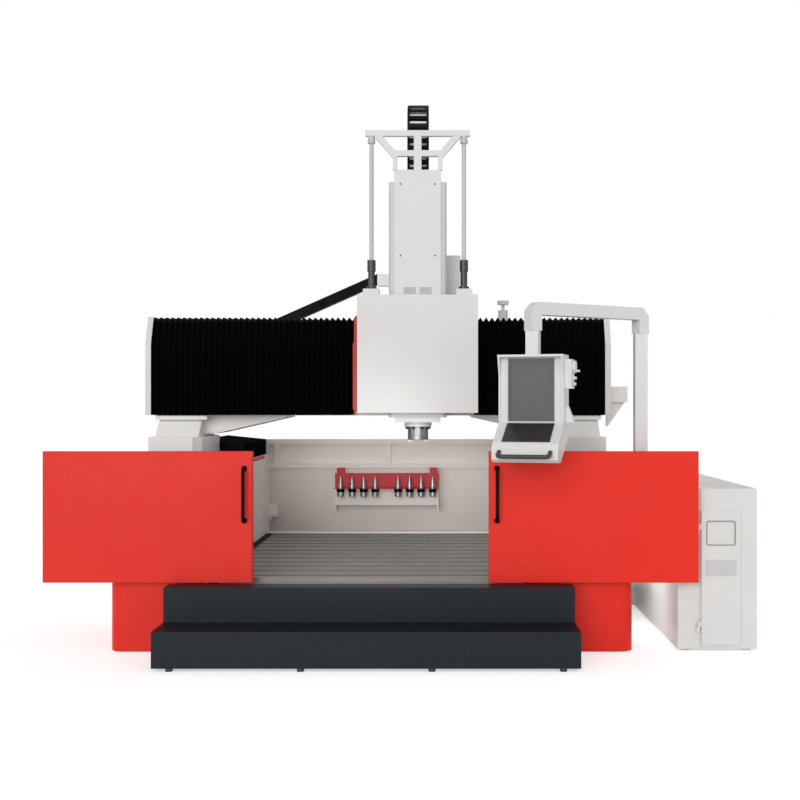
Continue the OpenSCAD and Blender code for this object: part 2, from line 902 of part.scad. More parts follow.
module column() {
    foot_plan = [
        [foot_x0 + foot_bevel, gantry_y0], [foot_x1, gantry_y0], [foot_x1, gantry_y1], [foot_x0, gantry_y1],
        [foot_x0, gantry_y0 + foot_bevel]
    ];
    waist = [
        [gantry_y0 + waist_front0, foot_z1], [gantry_y0 + waist_front1, beam_z0 - flange_t],
        [gantry_y1 - waist_back, beam_z0 - flange_t], [gantry_y1 - waist_back, foot_z1]
    ];
    haunch_x0 = foot_x0 - haunch_x;
    haunch = [
        [foot_x0 + foot_w / 2, beam_z0], [haunch_x0, beam_z0], [haunch_x0, beam_z0 - haunch_tip],
        [foot_x0 - flange_out - flange_t, foot_z1 + haunch_lift],
        [foot_x0 + foot_w / 2, foot_z1 + haunch_lift]
    ];
    color(WHITE) {
        translate([0, 0, foot_z0]) linear_extrude(foot_h) polygon(foot_plan);
        along_x([foot_x0 + waist_in, foot_x1 - waist_in]) polygon(waist);
        block([foot_x0 - flange_out, foot_x1 - flange_out],
              [gantry_y0 + flange_front, gantry_y1 - waist_back / 2], [beam_z0 - flange_t, beam_z0]);
        along_y(haunch_y) polygon(haunch);
    }
}

module left_column() {
    mirror([1, 0, 0]) column();
}

module right_column() {
    column();
}

module cross_beam() {
    color(WHITE) along_x(about(0, beam_x)) difference() {
        translate([beam_y0, beam_z0]) square([beam_d, beam_h]);
        translate([beam_y0 + beam_wall, beam_z0 + beam_wall])
            square([beam_d - 2 * beam_wall, beam_h - 2 * beam_wall]);
    }
}

module beam_end_caps() {
    outline = concat(bel_path, [[beam_y1, bel_z1], [beam_y1, bel_z0]]);
    color(WHITE) both_sides() along_x([beam_x, cap_x]) polygon(outline);
}

module y_runners() {
    rows = [gantry_y0 + runner_in, gantry_y1 - runner_in];
    color(STEEL) both_sides() for (s = [-1, 1], y = rows)
        translate([foot_xc + s * y_rail_dx, 0, wall_h])
            along_y(about(y, runner_l / 2)) runner_section(stack_h);
}

module y_forcers() {
    color(DARK) both_sides()
        block(about(foot_xc, track_w / 2), [gantry_y0 + runner_in, gantry_y1 - runner_in],
              [wall_h + track_h + air_gap, foot_z0]);
}

module way_cover_frames() {
    low = wall_h + way_frame_lift;
    color(DARK) both_sides() {
        along_y([way_front_y[1], gantry_y0]) polygon(way_path(way_front_h, low));
        along_y([gantry_y1, way_rear_y[0]]) polygon(way_path(way_rear_h, low));
    }
}

module x_rails() {
    color(STEEL) for (z = x_rail_z)
        along_x(about(0, beam_x)) translate([beam_y0, z]) rotate(90) rail_section();
}

module x_magnet_track() {
    color(DARK) block(about(0, beam_x), [beam_y0 - track_h, beam_y0], about(x_track_z, track_w / 2));
}

module beam_bellows(x) {
    color(BLACK) rotate([90, 0, 90]) bellows(x, bel_path, bel_in, pleat_depth, pleat_pitch, bel_t);
}

module left_beam_bellows() {
    beam_bellows([-beam_x, saddle_x - saddle_hw - saddle_frame_t]);
}

module right_beam_bellows() {
    beam_bellows([saddle_x + saddle_hw + saddle_frame_t, beam_x]);
}

module lifting_post() {
    color(WHITE) translate([post_x, lift_y, beam_z1]) {
        cylinder(d = lift_base_d, h = lift_base_h);
        cylinder(d = lift_neck_d, h = lift_head_z + lift_head_h / 2);
        translate([0, 0, lift_head_z]) cylinder(d = lift_head_d, h = lift_head_h);
    }
}

module end_bracket() {
    web_y = (bracket_y[0] + bracket_y[1]) / 2;
    web = [
        [cap_x, bracket_z + bracket_h / 2], [cap_x + 0.9 * bracket_w, bracket_z + bracket_h / 2],
        [cap_x + 0.9 * bracket_w, bracket_z], [cap_x + bracket_web_foot, bracket_z - bracket_web_h],
        [cap_x, bracket_z - bracket_web_h]
    ];
    color(WHITE) {
        block([cap_x, cap_x + bracket_w], bracket_y, [bracket_z, bracket_z + bracket_h]);
        along_y(about(web_y, bracket_web_t / 2)) polygon(web);
    }
}

// Saddle, head cover and what they carry

module saddle() {
    x0 = saddle_x - saddle_hw;
    x1 = saddle_x + saddle_hw;
    outline = [
        [x0, saddle_z0], [x1, saddle_z0], [x1, saddle_z1], [x0 + saddle_corner, saddle_z1],
        [x0, saddle_z1 - saddle_corner]
    ];
    frame = ring(bel_path, bel_in, 0, bel_t);
    color(RED) {
        along_y([saddle_y0, saddle_y1]) polygon(outline);
        along_x([x0 - saddle_frame_t, x0]) polygon(frame);
        along_x([x1, x1 + saddle_frame_t]) polygon(frame);
        block([x0 - saddle_frame_t, x1 + saddle_frame_t], [saddle_y0, bel_y0 + sheet_t],
              [bel_z0 + saddle_web, bel_z1 - bel_chamfer[1]]);
        block(about(saddle_x, saddle_hw), [saddle_y1, beam_y0 - track_h - air_gap],
              about(x_track_z, track_w / 2));
    }
}

module x_runners() {
    depth = beam_y0 - saddle_y1;
    color(STEEL) for (z = x_rail_z, s = [-1, 1])
        along_x(about(saddle_x + s * x_runner_dx, runner_l / 2))
            translate([beam_y0, z]) rotate(90) runner_section(depth);
}

module head_cover() {
    x = about(ram_x, head_w / 2);
    color(WHITE) difference() {
        union() {
            block(x, [head_y0, head_y1], [head_z0, head_z1]);
            for (x = rod_x)
                block(about(x, pad_w / 2), [head_y0, head_y0 + pad_d], [head_z1 - cut, head_z1 + pad_h]);
        }
        block([x[0] + head_wall, x[1] - head_wall], [head_y0 + head_wall, head_y1 + cut],
              [head_z0 + head_wall, head_z1 - head_wall]);
        block(about(ram_x, ram_w / 2 + ram_play), [plate_y0 - ram_play, head_y1 + cut],
              [head_z0 - cut, head_z1 + cut]);
        for (x = rod_x)
            upright(cyl_d + 2 * fit, [x, yoke_y], [head_z1 - head_wall - cut, head_z1 + pad_h + cut]);
    }
}

module z_runners() {
    depth = saddle_y0 - ram_y1;
    color(STEEL) for (s = [-1, 1], z = z_runner_z)
        translate([ram_x + s * z_rail_dx, ram_y1, z - runner_l / 2])
            linear_extrude(runner_l) runner_section(depth);
}

module balance_cylinder() {
    neck_z = pad_h + fit + gland_flange_h;
    difference() {
        union() {
            upright(cyl_d, [0, 0], [cyl_z0 - head_z1, neck_z]);
            upright(gland_flange_d, [0, 0], [pad_h + fit, neck_z]);
            upright(gland_neck_d, [0, 0], [neck_z, neck_z + gland_neck_h]);
            upright(gland_nut_d, [0, 0], [neck_z + gland_neck_h, neck_z + gland_neck_h + gland_nut_h]);
        }
        upright(rod_bore, [0, 0], [cyl_z0 - head_z1 + cyl_d / 2, neck_z + gland_neck_h + gland_nut_h + cut]);
    }
}

module balance_cylinders() {
    color(DARK) for (x = rod_x) {
        translate([x, yoke_y, head_z1]) balance_cylinder();
        block(about(x, cyl_d / 2), [yoke_y + cyl_d / 4, saddle_y0], [cyl_z0, cyl_z0 + cyl_d / 2]);
    }
}

module chain_box() {
    inner_x1 = ram_x + chain_w / 2 + chain_play;
    color(WHITE) difference() {
        union() {
            block(chain_box_x, chain_box_y, [chain_box_z0, chain_box_z1]);
            block([chain_box_x[0], chain_box_x[0] + duct_h], [chain_box_y[1] - cut, duct_y[1]], duct_arm_z);
            block([duct_x[0], chain_box_x[0] + cut], duct_y, duct_arm_z);
        }
        block([chain_box_x[0] + chain_box_t, inner_x1],
              [chain_box_y[0] + chain_box_t, chain_box_y[1] - chain_box_t],
              [chain_box_z0 + chain_box_t, chain_box_z1 + cut]);
    }
}

module cable_duct() {
    tail_x = duct_x[1] - duct_tail * (duct_x[0] - duct_x[1]) / duct_fall;
    outline = [
        [duct_x[0], duct_z + duct_h / 2], [duct_x[1], duct_z + duct_h / 2 - duct_fall],
        [tail_x, duct_z + duct_h / 2 - duct_fall - duct_tail],
        [tail_x, duct_z - duct_h / 2 - duct_fall - duct_tail], [duct_x[1], duct_z - duct_h / 2 - duct_fall],
        [duct_x[0], duct_z - duct_h / 2]
    ];
    color(BLACK) along_y(duct_y) polygon(outline);
}

// Ram, yoke and spindle

module ram() {
    outline = concat(
        arc([ram_x - ram_w / 2 + ram_edge, ram_y0 + ram_edge], ram_edge, 180, 270, 6),
        arc([ram_x + ram_w / 2 - ram_edge, ram_y0 + ram_edge], ram_edge, 270, 360, 6),
        [[ram_x + ram_w / 2, ram_y1], [ram_x - ram_w / 2, ram_y1]]
    );
    color(WHITE) difference() {
        translate([0, 0, ram_z0]) linear_extrude(ram_l) polygon(outline);
        block(about(ram_x, ram_w / 2 - ram_wall), [ram_y0 + ram_wall, ram_y1 - ram_wall],
              [ram_z0 + ram_d, ram_z1 + cut]);
    }
}

module ram_front_plate() {
    color(WHITE) difference() {
        block(about(ram_x, plate_w / 2), [plate_y0, ram_y0], [plate_z0, ram_z1 + plate_top]);
        for (s = [-1, 1], drop = plate_hole_drop)
            translate([ram_x + s * plate_hole_dx, plate_y0 - cut, ram_z1 + plate_top - drop])
                rotate([-90, 0, 0]) cylinder(d = plate_hole_d, h = plate_t / 2 + cut);
        for (s = [-1, 1])
            block(about(ram_x + s * vent_dx, vent_w / 2), [plate_y0 - cut, plate_y0 + plate_t / 3],
                  [head_z1 + vent_lift, head_z1 + vent_lift + vent_h]);
    }
}

module z_rails() {
    color(STEEL) for (s = [-1, 1])
        translate([ram_x + s * z_rail_dx, ram_y1, z_rail_z[0]])
            linear_extrude(z_rail_z[1] - z_rail_z[0]) rail_section();
}

module yoke() {
    bar_hw = rod_span / 2 + yoke_end;
    mid_z = yoke_z1 - yoke_mid_drop;
    legs_z = ram_z1 + plate_top;
    reach = yoke_mid_w / 2;
    brace = [
        [bar_hw - yoke_end, yoke_z1 - yoke_bar / 2],
        [bar_hw - yoke_end - 2 * yoke_leg_w, yoke_z1 - yoke_bar / 2],
        [reach - yoke_leg_w, mid_z - yoke_mid_h / 2], [reach - yoke_leg_w, mid_z - yoke_brace_low],
        [reach, mid_z - yoke_brace_low]
    ];
    y = [yoke_y0, yoke_y0 + yoke_t];
    color(WHITE) translate([ram_x, 0, 0]) {
        block(about(0, bar_hw), y, [yoke_z1 - yoke_bar, yoke_z1]);
        block(about(0, reach), y, [mid_z - yoke_mid_h, mid_z]);
        block(about(0, yoke_mast_w / 2), y, [legs_z, yoke_z1 - yoke_bar / 2]);
        both_sides() {
            along_y(y) polygon(brace);
            block([reach - yoke_leg_w, reach], y, [legs_z, mid_z - yoke_mid_h / 2]);
        }
    }
}

module balance_rods() {
    color(STEEL) for (x = rod_x) upright(rod_d, [x, yoke_y], [rod_z0, yoke_z1 - yoke_bar]);
}

module spindle_housing() {
    face_z = ram_z0 - nose_plate_h - nose_flange_h;
    color(WHITE) difference() {
        union() {
            block(about(ram_x, nose_plate_w / 2), about(spindle_y, nose_plate_d / 2),
                  [ram_z0 - nose_plate_h, ram_z0]);
            upright(nose_flange_d, [ram_x, spindle_y],
                    [face_z, ram_z0 - nose_plate_h]);
        }
        upright(nose_shaft_d + 2 * fit, [ram_x, spindle_y],
                [face_z - cut, face_z + nose_shaft_h]);
    }
}

module spindle_nose() {
    face_z = ram_z0 - nose_plate_h - nose_flange_h - fit;
    low = face_z - nose_h;
    color(STEEL) translate([ram_x, spindle_y, 0]) difference() {
        union() {
            upright(nose_d, [0, 0], [low, face_z]);
            upright(nose_shaft_d, [0, 0], [low, face_z + nose_shaft_h]);
            for (s = [-1, 1])
                block(about(s * nose_key_x, nose_key_w / 2), about(0, nose_key_w / 2),
                      [low - nose_key_h, low + cut]);
        }
        translate([0, 0, low - cut]) cylinder(d1 = taper_mouth_d, d2 = taper_top_d, h = taper_l + cut);
    }
}

// Cable chain over the ram

module chain_band(t) {
    intersection() {
        difference() {
            circle(chain_r + t / 2);
            circle(chain_r - t / 2);
        }
        translate([-chain_r - t, 0]) square([2 * (chain_r + t), chain_r + t]);
    }
    translate([-chain_r - t / 2, -chain_front_l]) square([t, chain_front_l + cut / 100]);
    translate([chain_r - t / 2, -chain_rear_l]) square([t, chain_rear_l + cut / 100]);
}

module chain_rungs() {
    for (s = [-1, 1]) translate([s * (chain_t - chain_rung_t) / 2, 0])
        square([chain_rung_t, chain_rung], center = true);
}

module z_chain() {
    side = chain_w / 2;
    arc_n = floor(PI * chain_r / chain_pitch);
    color(BLACK) translate([ram_x, chain_y, chain_zc]) {
        for (s = [-1, 1]) along_x(about(s * (side - chain_plate / 2), chain_plate / 2)) chain_band(chain_t);
        along_x(about(0, side - chain_plate)) {
            for (z = [chain_pitch:chain_pitch:chain_front_l - chain_pitch])
                translate([-chain_r, -z]) chain_rungs();
            for (z = [chain_pitch:chain_pitch:chain_rear_l - chain_pitch])
                translate([chain_r, -z]) chain_rungs();
            for (i = [0:arc_n]) rotate(180 * i / arc_n) translate([chain_r, 0]) chain_rungs();
        }
    }
}

// Control pendant on its post and arm

module pendant_post() {
    x = pend_post[0];
    y = pend_post[1];
    side_x = outer_x + guard_t + fit;
    color(WHITE) {
        block(about(x, post_w / 2), about(y, post_w / 2), [post_z0, post_h]);
        upright(spigot_d, pend_post, [post_h - cut, post_h + spigot_h]);
        for (z = post_bracket_z) block([side_x, x], about(y, post_w / 3), [z, z + post_bracket_h]);
    }
}

module swing_arm() {
    hw = arm_tube / 2;
    far = arm_reach + arm_drop_w / 2;
    near = arm_reach - arm_drop_w / 2;
    side = [
        [-hw, arm_z0], [-hw, arm_z1 - arm_elbow], [arm_elbow - hw, arm_z1], [far - arm_elbow, arm_z1],
        [far, arm_z1 - arm_elbow], [far, arm_drop_z0], [near, arm_drop_z0], [near, arm_z1 - arm_tube],
        [hw, arm_z1 - arm_tube], [hw, arm_z0]
    ];
    color(WHITE) translate([pend_post[0], pend_post[1], 0]) rotate(arm_turn) difference() {
        along_y(about(0, hw)) polygon(side);
        upright(spigot_d + 2 * fit, [0, 0], [post_h, post_h + spigot_h + fit]);
        upright(pin_d + 2 * fit, [arm_reach, 0], [arm_drop_z0 - cut, arm_drop_z0 + pin_h]);
    }
}

module at_pendant() {
    translate([drop[0], drop[1], 0]) rotate(-pendant_yaw) children();
}

module pendant_housing() {
    outline = concat(
        [[pend_back, pend_z1], [pend_face - pend_visor, pend_z1]],
        [[pend_face - pend_visor, pend_z1 - pend_visor_t], [pend_face, pend_z1 - pend_visor_t]],
        [console_p0, console_p1], console_lip, [[pend_back, console_heel]]
    );
    cheek = [
        [pend_face + cut, pend_z1 - cut], [pend_face - pend_visor, pend_z1 - cut],
        [pend_face - pend_rim, pend_z1 - pend_cheek_h], [pend_face - pend_rim, console_p0[1] + pend_rim],
        [pend_face + cut, console_p0[1] + cut]
    ];
    cradle = [
        [pend_hw - cut, cradle_z[0]], [pend_hw + cradle_reach, cradle_z[0]],
        [pend_hw + cradle_reach / 3, cradle_z[1]], [pend_hw - cut, cradle_z[1]]
    ];
    neck_z1 = arm_drop_z0 - fit;
    color(WHITE) at_pendant() {
        along_x(about(0, pend_hw)) polygon(outline);
        for (s = [-1, 1]) along_x(about(s * (pend_hw - pend_cheek / 2), pend_cheek / 2)) polygon(cheek);
        block(about(0, arm_drop_w / 2), about(0, arm_tube / 2), [pend_z1 - cut, neck_z1]);
        upright(pin_d, [0, 0], [neck_z1 - cut, arm_drop_z0 + pin_h - cut]);
        block([pend_hw - cut, pend_hw + mpg_w], about(0, mpg_w), mpg_z);
        along_y(about(0, mpg_w / 2)) polygon(cradle);
    }
}

module pendant_screen() {
    rim = [pend_screen_z[0] + screen_rim, pend_screen_z[1] - screen_rim];
    color(DARK) at_pendant() difference() {
        block(about(0, screen_w / 2), [pend_face - screen_t, pend_face], pend_screen_z);
        block(about(0, screen_w / 2 - screen_rim), [pend_face - screen_t - cut, pend_face - screen_t / 2],
              rim);
    }
}

module pendant_keypad() {
    pad0 = console_p0 + keypad_in * console_dir + keypad_seat * console_n;
    pad1 = console_p1 - keypad_in * console_dir + keypad_seat * console_n;
    color(DARK) at_pendant() along_x(about(0, keypad_w / 2))
        polygon([pad0, pad1, pad1 + panel_t * console_n, pad0 + panel_t * console_n]);
}

module pendant_grip() {
    color(STEEL) at_pendant() {
        for (s = [-1, 1]) translate([s * (grip_hw - grip_d), grip_y, grip_z]) rotate([-90, 0, 0])
            cylinder(d = grip_d - 4, h = console_lip[0][0] - grip_y);
        translate([-grip_hw, grip_y, grip_z]) rotate([0, 90, 0]) cylinder(d = grip_d, h = 2 * grip_hw);
    }
}

module mpg_wheel() {
    z = mpg_z[1] - wheel_d / 2 - wheel_edge;
    color(WHITE) at_pendant() translate([pend_hw + mpg_w + fit, 0, z]) rotate([0, 90, 0]) {
        cylinder(d = wheel_d, h = wheel_t);
        translate([wheel_d / 3, 0, wheel_t - cut]) cylinder(d = wheel_knob_d, h = wheel_knob_h + cut);
    }
}

// Electric cabinet

module hinge_knuckle(z0, bore) {
    translate([hinge_at[0], hinge_at[1], z0]) difference() {
        cylinder(d = hinge_d, h = hinge_h);
        translate([0, 0, -cut]) cylinder(d = bore, h = hinge_h + 2 * cut);
    }
}

module cabinet_shell() {
    pitch = (cabinet_l - 2 * cab_foot_d) / (cab_foot_n - 1);
    color(WHITE) {
        difference() {
            block([cab_x0, cab_x1], [cab_y0, cab_y1], [cab_z0, cab_z1]);
            block([cab_x0 + cab_wall, cab_x1 - cab_wall], [cab_y0 + cab_wall, cab_y1 - cab_wall],
                  [cab_z0 + cab_wall, cab_z1 - cab_wall]);
            block([cab_door_x[0] + cab_lip, cab_door_x[1] - cab_lip], [cab_y0 - cut, cab_y0 + cab_wall + cut],
                  [cab_door_z[0] + cab_lip, cab_door_z[1] - cab_lip]);
            block(cab_groove, [cab_y0 - cut, cab_y0 + cab_groove_d], [cab_z0 - cut, cab_z1 + cut]);
        }
        for (i = [0:cab_foot_n - 1], x = [cab_x0 + cab_foot_d, cab_x1 - cab_foot_d])
            upright(cab_foot_d, [x, cab_y0 + cab_foot_d + i * pitch], [0, cab_z0]);
        block([outer_x, cab_x0], trunk_y, trunk_z);
        for (z = hinge_z) {
            upright(hinge_pin_d, hinge_at, [z - hinge_h, z + hinge_h]);
            block([hinge_at[0] - hinge_d, hinge_at[0]],
                  [hinge_at[1] - hinge_pin_d / 2, cab_y0 + cab_groove_d], [z - hinge_h, z - fit]);
        }
    }
}

// Mounting sheet on the cabinet's right wall, with a row of drives over a strip of terminals
module drive_rack() {
    sheet_x1 = cab_x1 - cab_wall;
    sheet_x0 = sheet_x1 - rack_sheet_t;
    row_y1 = drive_y0 + (drive_n - 1) * drive_pitch + drive_size[1];
    color(DARK) {
        block([sheet_x0, sheet_x1], [drive_y0 - drive_pitch / 2, row_y1 + drive_pitch / 2],
              [terminal_z0 - terminal_h, drive_z0 + drive_size[2] + terminal_h]);
        for (i = [0:drive_n - 1]) let (y = drive_y0 + i * drive_pitch)
            block([sheet_x0 - drive_size[0], sheet_x0 + cut], [y, y + drive_size[1]],
                  [drive_z0, drive_z0 + drive_size[2]]);
        block([sheet_x0 - terminal_d, sheet_x0 + cut], [drive_y0, row_y1],
              [terminal_z0, terminal_z0 + terminal_h]);
    }
}

module cabinet_door() {
    door_y0 = cab_door_y1 - cab_door_t;
    color(WHITE) {
        difference() {
            block(cab_door_x, [door_y0, cab_door_y1], cab_door_z);
            block([cab_door_x[0] + cab_window_in, cab_door_x[1] - cab_window_in],
                  [door_y0 - cut, door_y0 + cab_groove_d], cab_window_z);
        }
        block([cab_door_x[0] + cab_plate_in, cab_door_x[1] - cab_plate_in], [door_y0 - cab_plate_t, door_y0],
              cab_plate_z);
        for (z = hinge_z) {
            hinge_knuckle(z, hinge_pin_d + 2 * fit);
            difference() {
                block([hinge_at[0], cab_door_x[0]], about(hinge_at[1], hinge_d / 4), [z, z + hinge_h]);
                upright(hinge_d - 2, hinge_at, [z - cut, z + hinge_h + cut]);
            }
        }
    }
}

bed();
front_guard();
work_table();
chip_gutters();
rear_wall();
y_rails();
y_magnet_tracks();
way_end_plates();
rear_way_cover_left();
rear_way_cover_right();
front_way_cover_left();
front_way_cover_right();
rack_bar();
rack_plate();
tool_holders();
step();
step_feet();
door_guides();
left_door_panel();
left_door_handle();
right_door_panel();
right_door_handle();
left_column();
right_column();
cross_beam();
beam_end_caps();
y_runners();
y_forcers();
way_cover_frames();
x_rails();
x_magnet_track();
left_beam_bellows();
right_beam_bellows();
lifting_post();
end_bracket();
saddle();
x_runners();
head_cover();
z_runners();
balance_cylinders();
chain_box();
cable_duct();
ram();
ram_front_plate();
z_rails();
yoke();
balance_rods();
spindle_housing();
spindle_nose();
z_chain();
pendant_post();
swing_arm();
pendant_housing();
pendant_screen();
pendant_keypad();
pendant_grip();
mpg_wheel();
cabinet_shell();
drive_rack();
cabinet_door();
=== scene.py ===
import bmesh
import bpy
import numpy as np
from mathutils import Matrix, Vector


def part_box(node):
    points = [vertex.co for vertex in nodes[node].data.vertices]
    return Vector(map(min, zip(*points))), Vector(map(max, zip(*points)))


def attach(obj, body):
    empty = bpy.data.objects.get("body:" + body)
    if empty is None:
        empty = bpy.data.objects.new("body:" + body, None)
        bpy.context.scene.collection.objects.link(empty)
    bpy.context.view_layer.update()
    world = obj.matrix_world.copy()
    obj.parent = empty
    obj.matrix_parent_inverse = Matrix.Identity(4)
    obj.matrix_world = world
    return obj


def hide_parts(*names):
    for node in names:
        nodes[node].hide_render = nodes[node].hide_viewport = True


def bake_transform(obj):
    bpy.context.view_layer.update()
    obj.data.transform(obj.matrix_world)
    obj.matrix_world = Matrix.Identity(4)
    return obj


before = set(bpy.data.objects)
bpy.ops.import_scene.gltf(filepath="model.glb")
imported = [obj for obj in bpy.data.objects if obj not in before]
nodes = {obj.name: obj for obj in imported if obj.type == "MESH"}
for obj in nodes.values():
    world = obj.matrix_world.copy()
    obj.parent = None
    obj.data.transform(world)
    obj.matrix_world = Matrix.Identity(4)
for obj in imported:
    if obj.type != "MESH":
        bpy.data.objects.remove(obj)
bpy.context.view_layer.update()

# Sizes are in metres, in the frame of the machine: X to the right, Y to the back, Z up.


# Surfaces

def grid_quads(rows, cols, wrap_rows=False, wrap_cols=False):
    """Corner numbers of the quads of a grid: each point joins its right, upper right and upper neighbour."""
    i = np.arange(rows if wrap_rows else rows - 1)
    j = np.arange(cols if wrap_cols else cols - 1)
    i, j = np.meshgrid(i, j, indexing="ij")
    up, right = (i + 1) % rows, (j + 1) % cols
    corners = [i * cols + j, i * cols + right, up * cols + right, up * cols + j]
    return np.stack([c.ravel() for c in corners], axis=1)


def outward(points, quads):
    """The quads of a closed surface, turned so that its volume, the sum of the cones from the middle, is positive."""
    p = points[quads] - points.mean(axis=0)
    first = np.einsum("ij,ij->i", p[:, 0], np.cross(p[:, 1], p[:, 2])).sum()
    second = np.einsum("ij,ij->i", p[:, 0], np.cross(p[:, 2], p[:, 3])).sum()
    return quads if first + second > 0 else quads[:, ::-1]


def joined(parts):
    """Several closed surfaces as one: the points in a row, and each surface's corner numbers moved on to its points."""
    starts = np.cumsum([0] + [len(p) for p, q in parts[:-1]])
    points = np.concatenate([p for p, q in parts])
    return points, np.concatenate([outward(p, q) + s for (p, q), s in zip(parts, starts)])


def copies(part, many):
    """A closed surface's copies as one, from their points of shape (copies, points, 3): the corner numbers of each copy
    are moved on to its own points."""
    points, quads = part
    starts = (np.arange(len(many)) * len(points))[:, None, None]
    return many.reshape(-1, 3), (outward(points, quads)[None] + starts).reshape(-1, 4)


def repeated(part, offsets):
    """One closed surface set down at every offset."""
    return copies(part, part[0][None] + np.asarray(offsets, float)[:, None])


def capped_ring(points):
    """A closed tube of shape (rows, cols, 3), with each end drawn together into the middle of its ring."""
    rows, cols = points.shape[:2]
    ends = [np.repeat(points[k].mean(axis=0)[None], cols, axis=0) for k in (0, -1)]
    whole = np.concatenate([ends[0][None], points, ends[1][None]])
    return whole.reshape(-1, 3), grid_quads(rows + 2, cols, wrap_cols=True)


def rings(profile, sides, flutes=None):
    """Circles about Z through the points of a profile of radius and height. Flutes, given as count, depth, low and
    high, press the circles between two heights inwards by a steep wave of the angle."""
    profile = np.asarray(profile, float)
    angle = np.linspace(0, 2 * np.pi, sides, endpoint=False)
    r, z = profile[:, 0][:, None], profile[:, 1][:, None] + 0 * angle
    if flutes:
        count, depth, low, high = flutes
        r = r - depth * ((z > low) & (z < high)) * np.clip(3 * np.cos(count * angle) - 1.5, 0, 1)
    return np.stack([r * np.cos(angle), r * np.sin(angle), z], axis=2)


def turned(profile, sides=32, flutes=None):
    """A turned part about Z: radius and height along the profile, carried round by an angle."""
    return capped_ring(rings(profile, sides, flutes))


def turned_ring(profile, sides=32):
    """A ring about Z: a closed profile of radius and height, carried round by an angle."""
    points = rings(profile, sides)
    return points.reshape(-1, 3), grid_quads(len(profile), sides, True, True)


def bar(size):
    """A plain bar about its middle: two rectangles, joined at the sides and closed at the ends."""
    x, y, z = np.asarray(size, float) / 2
    plan = np.array([[-x, -y], [x, -y], [x, y], [-x, y]])
    points = np.concatenate([np.column_stack([plan, np.full(4, -z)]), np.column_stack([plan, np.full(4, z)])])
    ends = np.array([[3, 2, 1, 0], [4, 5, 6, 7]])
    return points, np.concatenate([grid_quads(2, 4, wrap_cols=True), ends])


def prism(outline, span):
    """A flat outline of X and Z, carried along Y from one end of the span to the other and closed there."""
    x, z = np.asarray(outline, float).T
    return capped_ring(np.stack([np.stack([x, 0 * x + y, z], axis=1) for y in span]))


def strung(part, at, along):
    """One closed surface set down along a path: its X stays across, its Z follows the path's direction in the YZ plane
    and its Y points out on the left of it."""
    points = part[0][None]
    out = np.stack([0 * along[:, 0], -along[:, 2], along[:, 1]], axis=1)
    across = np.array([1.0, 0, 0])
    many = at[:, None] + points[..., :1] * across + points[..., 1:2] * out[:, None] + points[..., 2:] * along[:, None]
    return copies(part, many)


def corner_fan(sides):
    """Unit vectors all round, a quarter circle for each corner of a rectangle, and the signs of those corners."""
    a = np.linspace(0, np.pi / 2, sides)
    quarter = np.concatenate([a + k * np.pi / 2 for k in range(4)])
    signs = np.repeat([[1, 1], [-1, 1], [-1, -1], [1, -1]], sides, axis=0)
    return np.stack([np.cos(quarter), np.sin(quarter)], axis=1), signs


def soft_slab(size, edge, corner, sides=6):
    """A slab with rounded corners and a rounded upper edge: a rounded rectangle drawn in as it rises by a quarter
    circle, from the middle of its foot to the middle of its top."""
    half = np.asarray(size[:2], float) / 2
    unit, signs = corner_fan(sides)
    lift = np.linspace(0, np.pi / 2, 5)
    inset = np.concatenate([[0], edge * (1 - np.cos(lift))])
    height = np.concatenate([[0], size[2] - edge + edge * np.sin(lift)])
    reach = np.maximum(corner - inset, 0.2 * corner)
    flat = signs * (half - corner)
    plan = flat[None] + reach[:, None, None] * unit[None]
    plan = plan - signs[None] * np.maximum(inset - 0.8 * corner, 0)[:, None, None]
    z = np.repeat(height[:, None, None], len(unit), axis=1)
    return capped_ring(np.concatenate([plan, z], axis=2))


def bent_run(corners, radius, arc=7, step=0.03):
    """A path of straight runs joined by arcs: each corner is cut back along both runs, and a quadratic curve pulled
    towards the corner fills it."""
    corners = np.asarray(corners, float)
    runs = []
    for k, here in enumerate(corners):
        if k in (0, len(corners) - 1):
            runs.append(here[None])
            continue
        back, on = corners[k - 1] - here, corners[k + 1] - here
        a = here + radius * back / np.linalg.norm(back)
        b = here + radius * on / np.linalg.norm(on)
        t = np.linspace(0, 1, arc)[:, None]
        runs.append((1 - t) ** 2 * a + 2 * t * (1 - t) * here + t ** 2 * b)
    rough = np.concatenate(runs)
    gaps = np.linalg.norm(np.diff(rough, axis=0), axis=1)
    counts = np.maximum(1, np.ceil(gaps / step).astype(int))
    fine = [a + (b - a) * np.arange(n)[:, None] / n for a, b, n in zip(rough[:-1], rough[1:], counts)]
    return np.concatenate(fine + [rough[-1:]])


def bent_path(corners, radius):
    """A bent run in a plane, and the unit normals on its right: its direction turned by a quarter."""
    points = bent_run(corners, radius)
    along = np.gradient(points, axis=0)
    along /= np.linalg.norm(along, axis=1)[:, None]
    return points, np.stack([along[:, 1], -along[:, 0]], axis=1)


def pleat(x, pitch, sharp=0.985):
    """A rounded zigzag from 0 at the outer folds to 1 at the inner folds, one tooth a pitch."""
    low = np.arccos(sharp)
    return (np.arccos(sharp * np.cos(2 * np.pi * x / pitch)) - low) / (np.pi - 2 * low)


